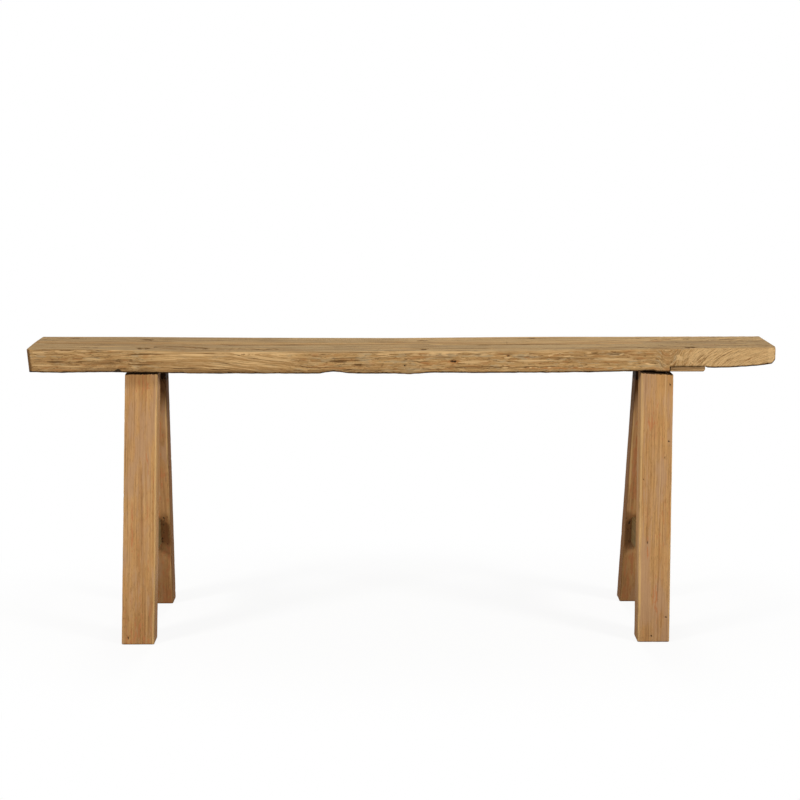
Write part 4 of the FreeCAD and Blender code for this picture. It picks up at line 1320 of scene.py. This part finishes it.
def stretcher_mesh(pair, seed):
    """A stretcher: a rounded rectangle carried from leg to leg, sheared to their slopes, with its tenons."""
    low, high = stretcher_box[pair]
    middle_x, middle_z = (low[0] + high[0]) / 2, (low[2] + high[2]) / 2
    share = np.concatenate([[0, 0], np.linspace(0, 1, STRETCHER_STEPS), [1, 1]])[:, None]
    is_tenon = np.abs(np.arange(len(share)) - (len(share) - 1) / 2)[:, None] > STRETCHER_STEPS / 2
    half_u = np.where(is_tenon, STRETCHER_TENON[0] / 2, STRETCHER_HALF[0])
    half_v = np.where(is_tenon, STRETCHER_TENON[1] / 2, STRETCHER_HALF[1])
    radii = [np.where(is_tenon, TENON_ARRIS, 1.8 + 0.6 * noise(share * 6, k, seed)) for k in range(4)]
    u, v, normal_u, normal_v = rounded_profile(-half_u, half_u, -half_v, half_v, radii,
                                               STRETCHER_COUNTS, STRETCHER_CORNERS)
    z = middle_z + v
    front_line, back_line = LEGS["front", pair], LEGS["back", pair]
    front_face = front_line(0.0)[1] + (front_line(1.0) - front_line(0.0))[1] * z + LEG_HALF[1]
    back_face = back_line(0.0)[1] + (back_line(1.0) - back_line(0.0))[1] * z - LEG_HALF[1]
    y = front_face + share * (back_face - front_face)
    y[0], y[-1] = low[1], high[1]

    ring = 0.9 * v + 0.03 * (u + 40) ** 2 + 2.0 * noise(y / 120, v / 20, seed + 1)
    groove, ridge = growth_lines(y, ring, seed + 2, 5.0)
    from_edge = np.maximum(half_u - np.abs(u), half_v - np.abs(v))
    edge = np.exp(-(from_edge / 2.4) ** 2)
    worn = 0.2 * groove - 0.08 * ridge + 0.15 * (1 + rough(y / 40, ring / 6, seed + 3, 3))
    worn = np.where(is_tenon, 0.0, worn)
    rings = np.stack([middle_x + u - worn * normal_u, y, z - worn * normal_v], axis=-1)
    marks = {
        "fibre": np.stack([y + FIBRE_SHIFT * seed, ring, u + v], axis=-1) * MM,
        "groove": 0.3 * groove,
        "crack": 0 * u,
        "pale": 0.45 * edge * smooth(noise(y / 25, v / 9, seed + 4), -0.4, 0.6),
        "grey": 0.4 + 0 * u,
        "warm": 0.1 + 0 * u,
        "mottle": 0.35 + 0 * u,
        "end": np.where(is_tenon, 0.5, 0.0) + 0 * u,
    }
    return closed_mesh("stretcher", rings, marks)


# dark tones: the stretcher's own colour, darkened as painted shade
STRETCHER_TONES = [(132, 102, 62), (114, 86, 50), (74, 52, 29), (112, 94, 60), (120, 80, 46), (150, 120, 76)]
stretcher_wood = old_wood("stretcher_wood", STRETCHER_TONES, 0.35)
for number, pair in enumerate(PAIRS):
    holes = [leg_cutters((row, pair))[2] for row in ROWS]
    mesh = cut_joints(stretcher_mesh(pair, 200 + 20 * number), holes)
    place_piece(f"{pair}_stretcher", mesh, stretcher_wood, f"stretcher_{pair}")

# %% [markdown]
# ## Packing strip
#
# The strip that packs out the thinned end is a thin board across the plank. Its section is a rectangle with
# one lower corner worn round, carried from the front to the back. Its underside lies a hair above the nail
# heads, which were hammered almost flush.

# %% Packing strip
STRIP_ROUND, STRIP_EDGE, STRIP_RAISE = 5.0, 0.8, 0.1
STRIP_COUNTS, STRIP_CORNERS, STRIP_STEPS = (10, 44, 10, 44), 7, 80
STRIP_CAP = np.array([0.2, 0.4, 0.6, 0.75, 0.88, 0.96])   # the rings of an end face, as shares of its outline

front_end, back_end = strip_low[1], strip_high[1]
path = np.linspace(front_end + 1.0, back_end - 1.0, STRIP_STEPS)
path = np.concatenate([[front_end, front_end + 0.3], path, [back_end - 0.3, back_end]])[:, None]
ease = np.zeros_like(path)
ease[[0, 1, -2, -1]] = [[0.9], [0.3], [0.3], [0.9]]
radii = [STRIP_EDGE, STRIP_EDGE, STRIP_EDGE, STRIP_ROUND + 0.8 * noise(path / 18, 0.0, 301)]
radii = [radius + 0 * path for radius in radii]
u, v, normal_u, normal_v = rounded_profile(strip_low[0] + ease, strip_high[0] - ease,
                                           strip_low[2] + STRIP_RAISE + ease, strip_high[2] - ease,
                                           radii, STRIP_COUNTS, STRIP_CORNERS)
worn = 0.1 * (1 + rough(u / 25, v / 5 + path / 30, 304, 3))
u, v = u - worn * normal_u, v - worn * normal_v


def closing_rings(ring, middle):
    """The rings of both end faces: the end outlines, shrunk to the middle of the end step by step."""
    share = STRIP_CAP[:, None]
    first = middle + share * (ring[0] - middle)
    last = middle + share[::-1] * (ring[-1] - middle)
    return np.concatenate([first, ring, last])


u = closing_rings(u, (strip_low[0] + strip_high[0]) / 2)
v = closing_rings(v, (strip_low[2] + strip_high[2]) / 2)
caps = np.ones((len(STRIP_CAP), 1))
w = np.concatenate([front_end * caps, path, back_end * caps]) + 0 * u
print("rings and points of the strip:", u.shape)

# %% Marks and finish of the strip
ring_number = 1.1 * v + 0.15 * w + 1.5 * noise(u / 40, v / 8, 302)
groove, ridge = growth_lines(u, ring_number, 303, 3.2)
tip = smooth(u, strip_high[0] - 9, strip_high[0] - 2)
root = 1 - smooth(u + 6 * noise(u / 5, v / 3, 305), strip_low[0] + 4, strip_low[0] + 22)
# painted shadow in the seams: along the top edge under the plank and at the end against the step
seam_shadow = smooth(v, strip_high[2] - 1.2, strip_high[2] - 0.3)
butt_shadow = 1 - smooth(u, strip_low[0] + 0.8, strip_low[0] + 2.2)
strip_marks = {
    "fibre": np.stack([u, ring_number, w + 2 * v], axis=-1) * MM,
    "groove": np.clip(0.5 * groove + 0.4 * root, 0, 1),
    "crack": np.maximum(seam_shadow, butt_shadow),
    "pale": np.clip(0.6 * ridge + 0.35 * tip, 0, 1),
    "grey": 0.35 + 0 * u,
    "warm": 0.15 + 0 * u,
    "mottle": 0.5 + 0 * u,
    "end": 0 * u,
}
strip_mesh = closed_mesh("strip", np.stack([u, w, v], axis=-1), strip_marks)
nail_bores = [(strip_high[2] + OVERCUT, NAIL_SHANK),
              (strip_low[2] + NAIL_HEAD_DEPTH + CUT_CLEARANCE, NAIL_HEAD)]
strip_holes = [drill(2, strip_low[2] - OVERCUT, bore_top, (NAIL_X, nail_y), radius + CUT_CLEARANCE)
               for bore_top, radius in nail_bores for nail_y in NAIL_YS]
STRIP_TONES = [(190, 150, 102), (170, 132, 86), (106, 78, 46), (170, 142, 106), (160, 110, 64),
               (208, 170, 120)]
strip_wood = old_wood("strip_wood", STRIP_TONES, 0.7)
place_piece("under_strip", cut_joints(strip_mesh, strip_holes), strip_wood, "packing_strip")

# %% [markdown]
# ## Wedges, pegs and nails
#
# The small parts keep their CAD shapes and only get a finish, on Object coordinates, because a CAD node has
# no marks on its points. A peg shows its dark end grain on the outer side of a leg. The nails are hand-made
# iron: grey where they were hammered, brown where they have rusted.

# %% Wedges and pegs
QUARTER = math.pi / 2
WEDGE_TONES = [(196, 158, 106), (176, 138, 90), (120, 88, 54), (150, 126, 92), (160, 106, 62),
               (210, 172, 120)]
PEG_TONES = [(150, 110, 68), (128, 92, 54), (78, 52, 30), (120, 98, 68), (134, 84, 48), (168, 130, 84)]
wedge_wood = old_wood("wedge_wood", WEDGE_TONES, 0.5, 0.3, (0.0, QUARTER, 0.0), {"Mottle": 0.2})
peg_wood = old_wood("peg_wood", PEG_TONES, 0.5, 0.3, (0.0, 0.0, 0.0),
                    {"Mottle": 0.5, "End": 0.4, "Grey": 0.3})


def paint(node, material):
    """Gives a CAD node a finish in place of its plain one."""
    slots = frame["nodes"][node].data.materials
    slots.clear()
    slots.append(material)


for row, pair in LEGS:
    paint(f"tenon_wedge_{row}_{pair}", wedge_wood)
    paint(f"peg_{row}_{pair}", peg_wood)
print("painted wedges and pegs")

# %% Nails
nail_iron, graph, shader = new_material("nail_iron")
rust = graph.ramp(graph.noise(graph.place(), (420.0, 420.0, 420.0), 6.0, 0.65), 0.42, 0.6)
pits = graph.noise(graph.place(), (1900.0, 1900.0, 1900.0), 3.0, 0.6)
graph.put(shader["Base Color"], graph.mix(rust, srgb(86, 80, 74), srgb(112, 66, 38)))
graph.put(shader["Roughness"], graph.ramp(rust, 0.0, 1.0, 0.45, 0.9))
graph.put(shader["Metallic"], graph.ramp(rust, 0.0, 1.0, 0.85, 0.1))
bump = graph.node("ShaderNodeBump", {"Height": pits, "Strength": 0.5, "Distance": 0.3 * MM})
graph.put(shader["Normal"], bump.outputs[0])
paint("strip_nails", nail_iron)
print("painted nails")
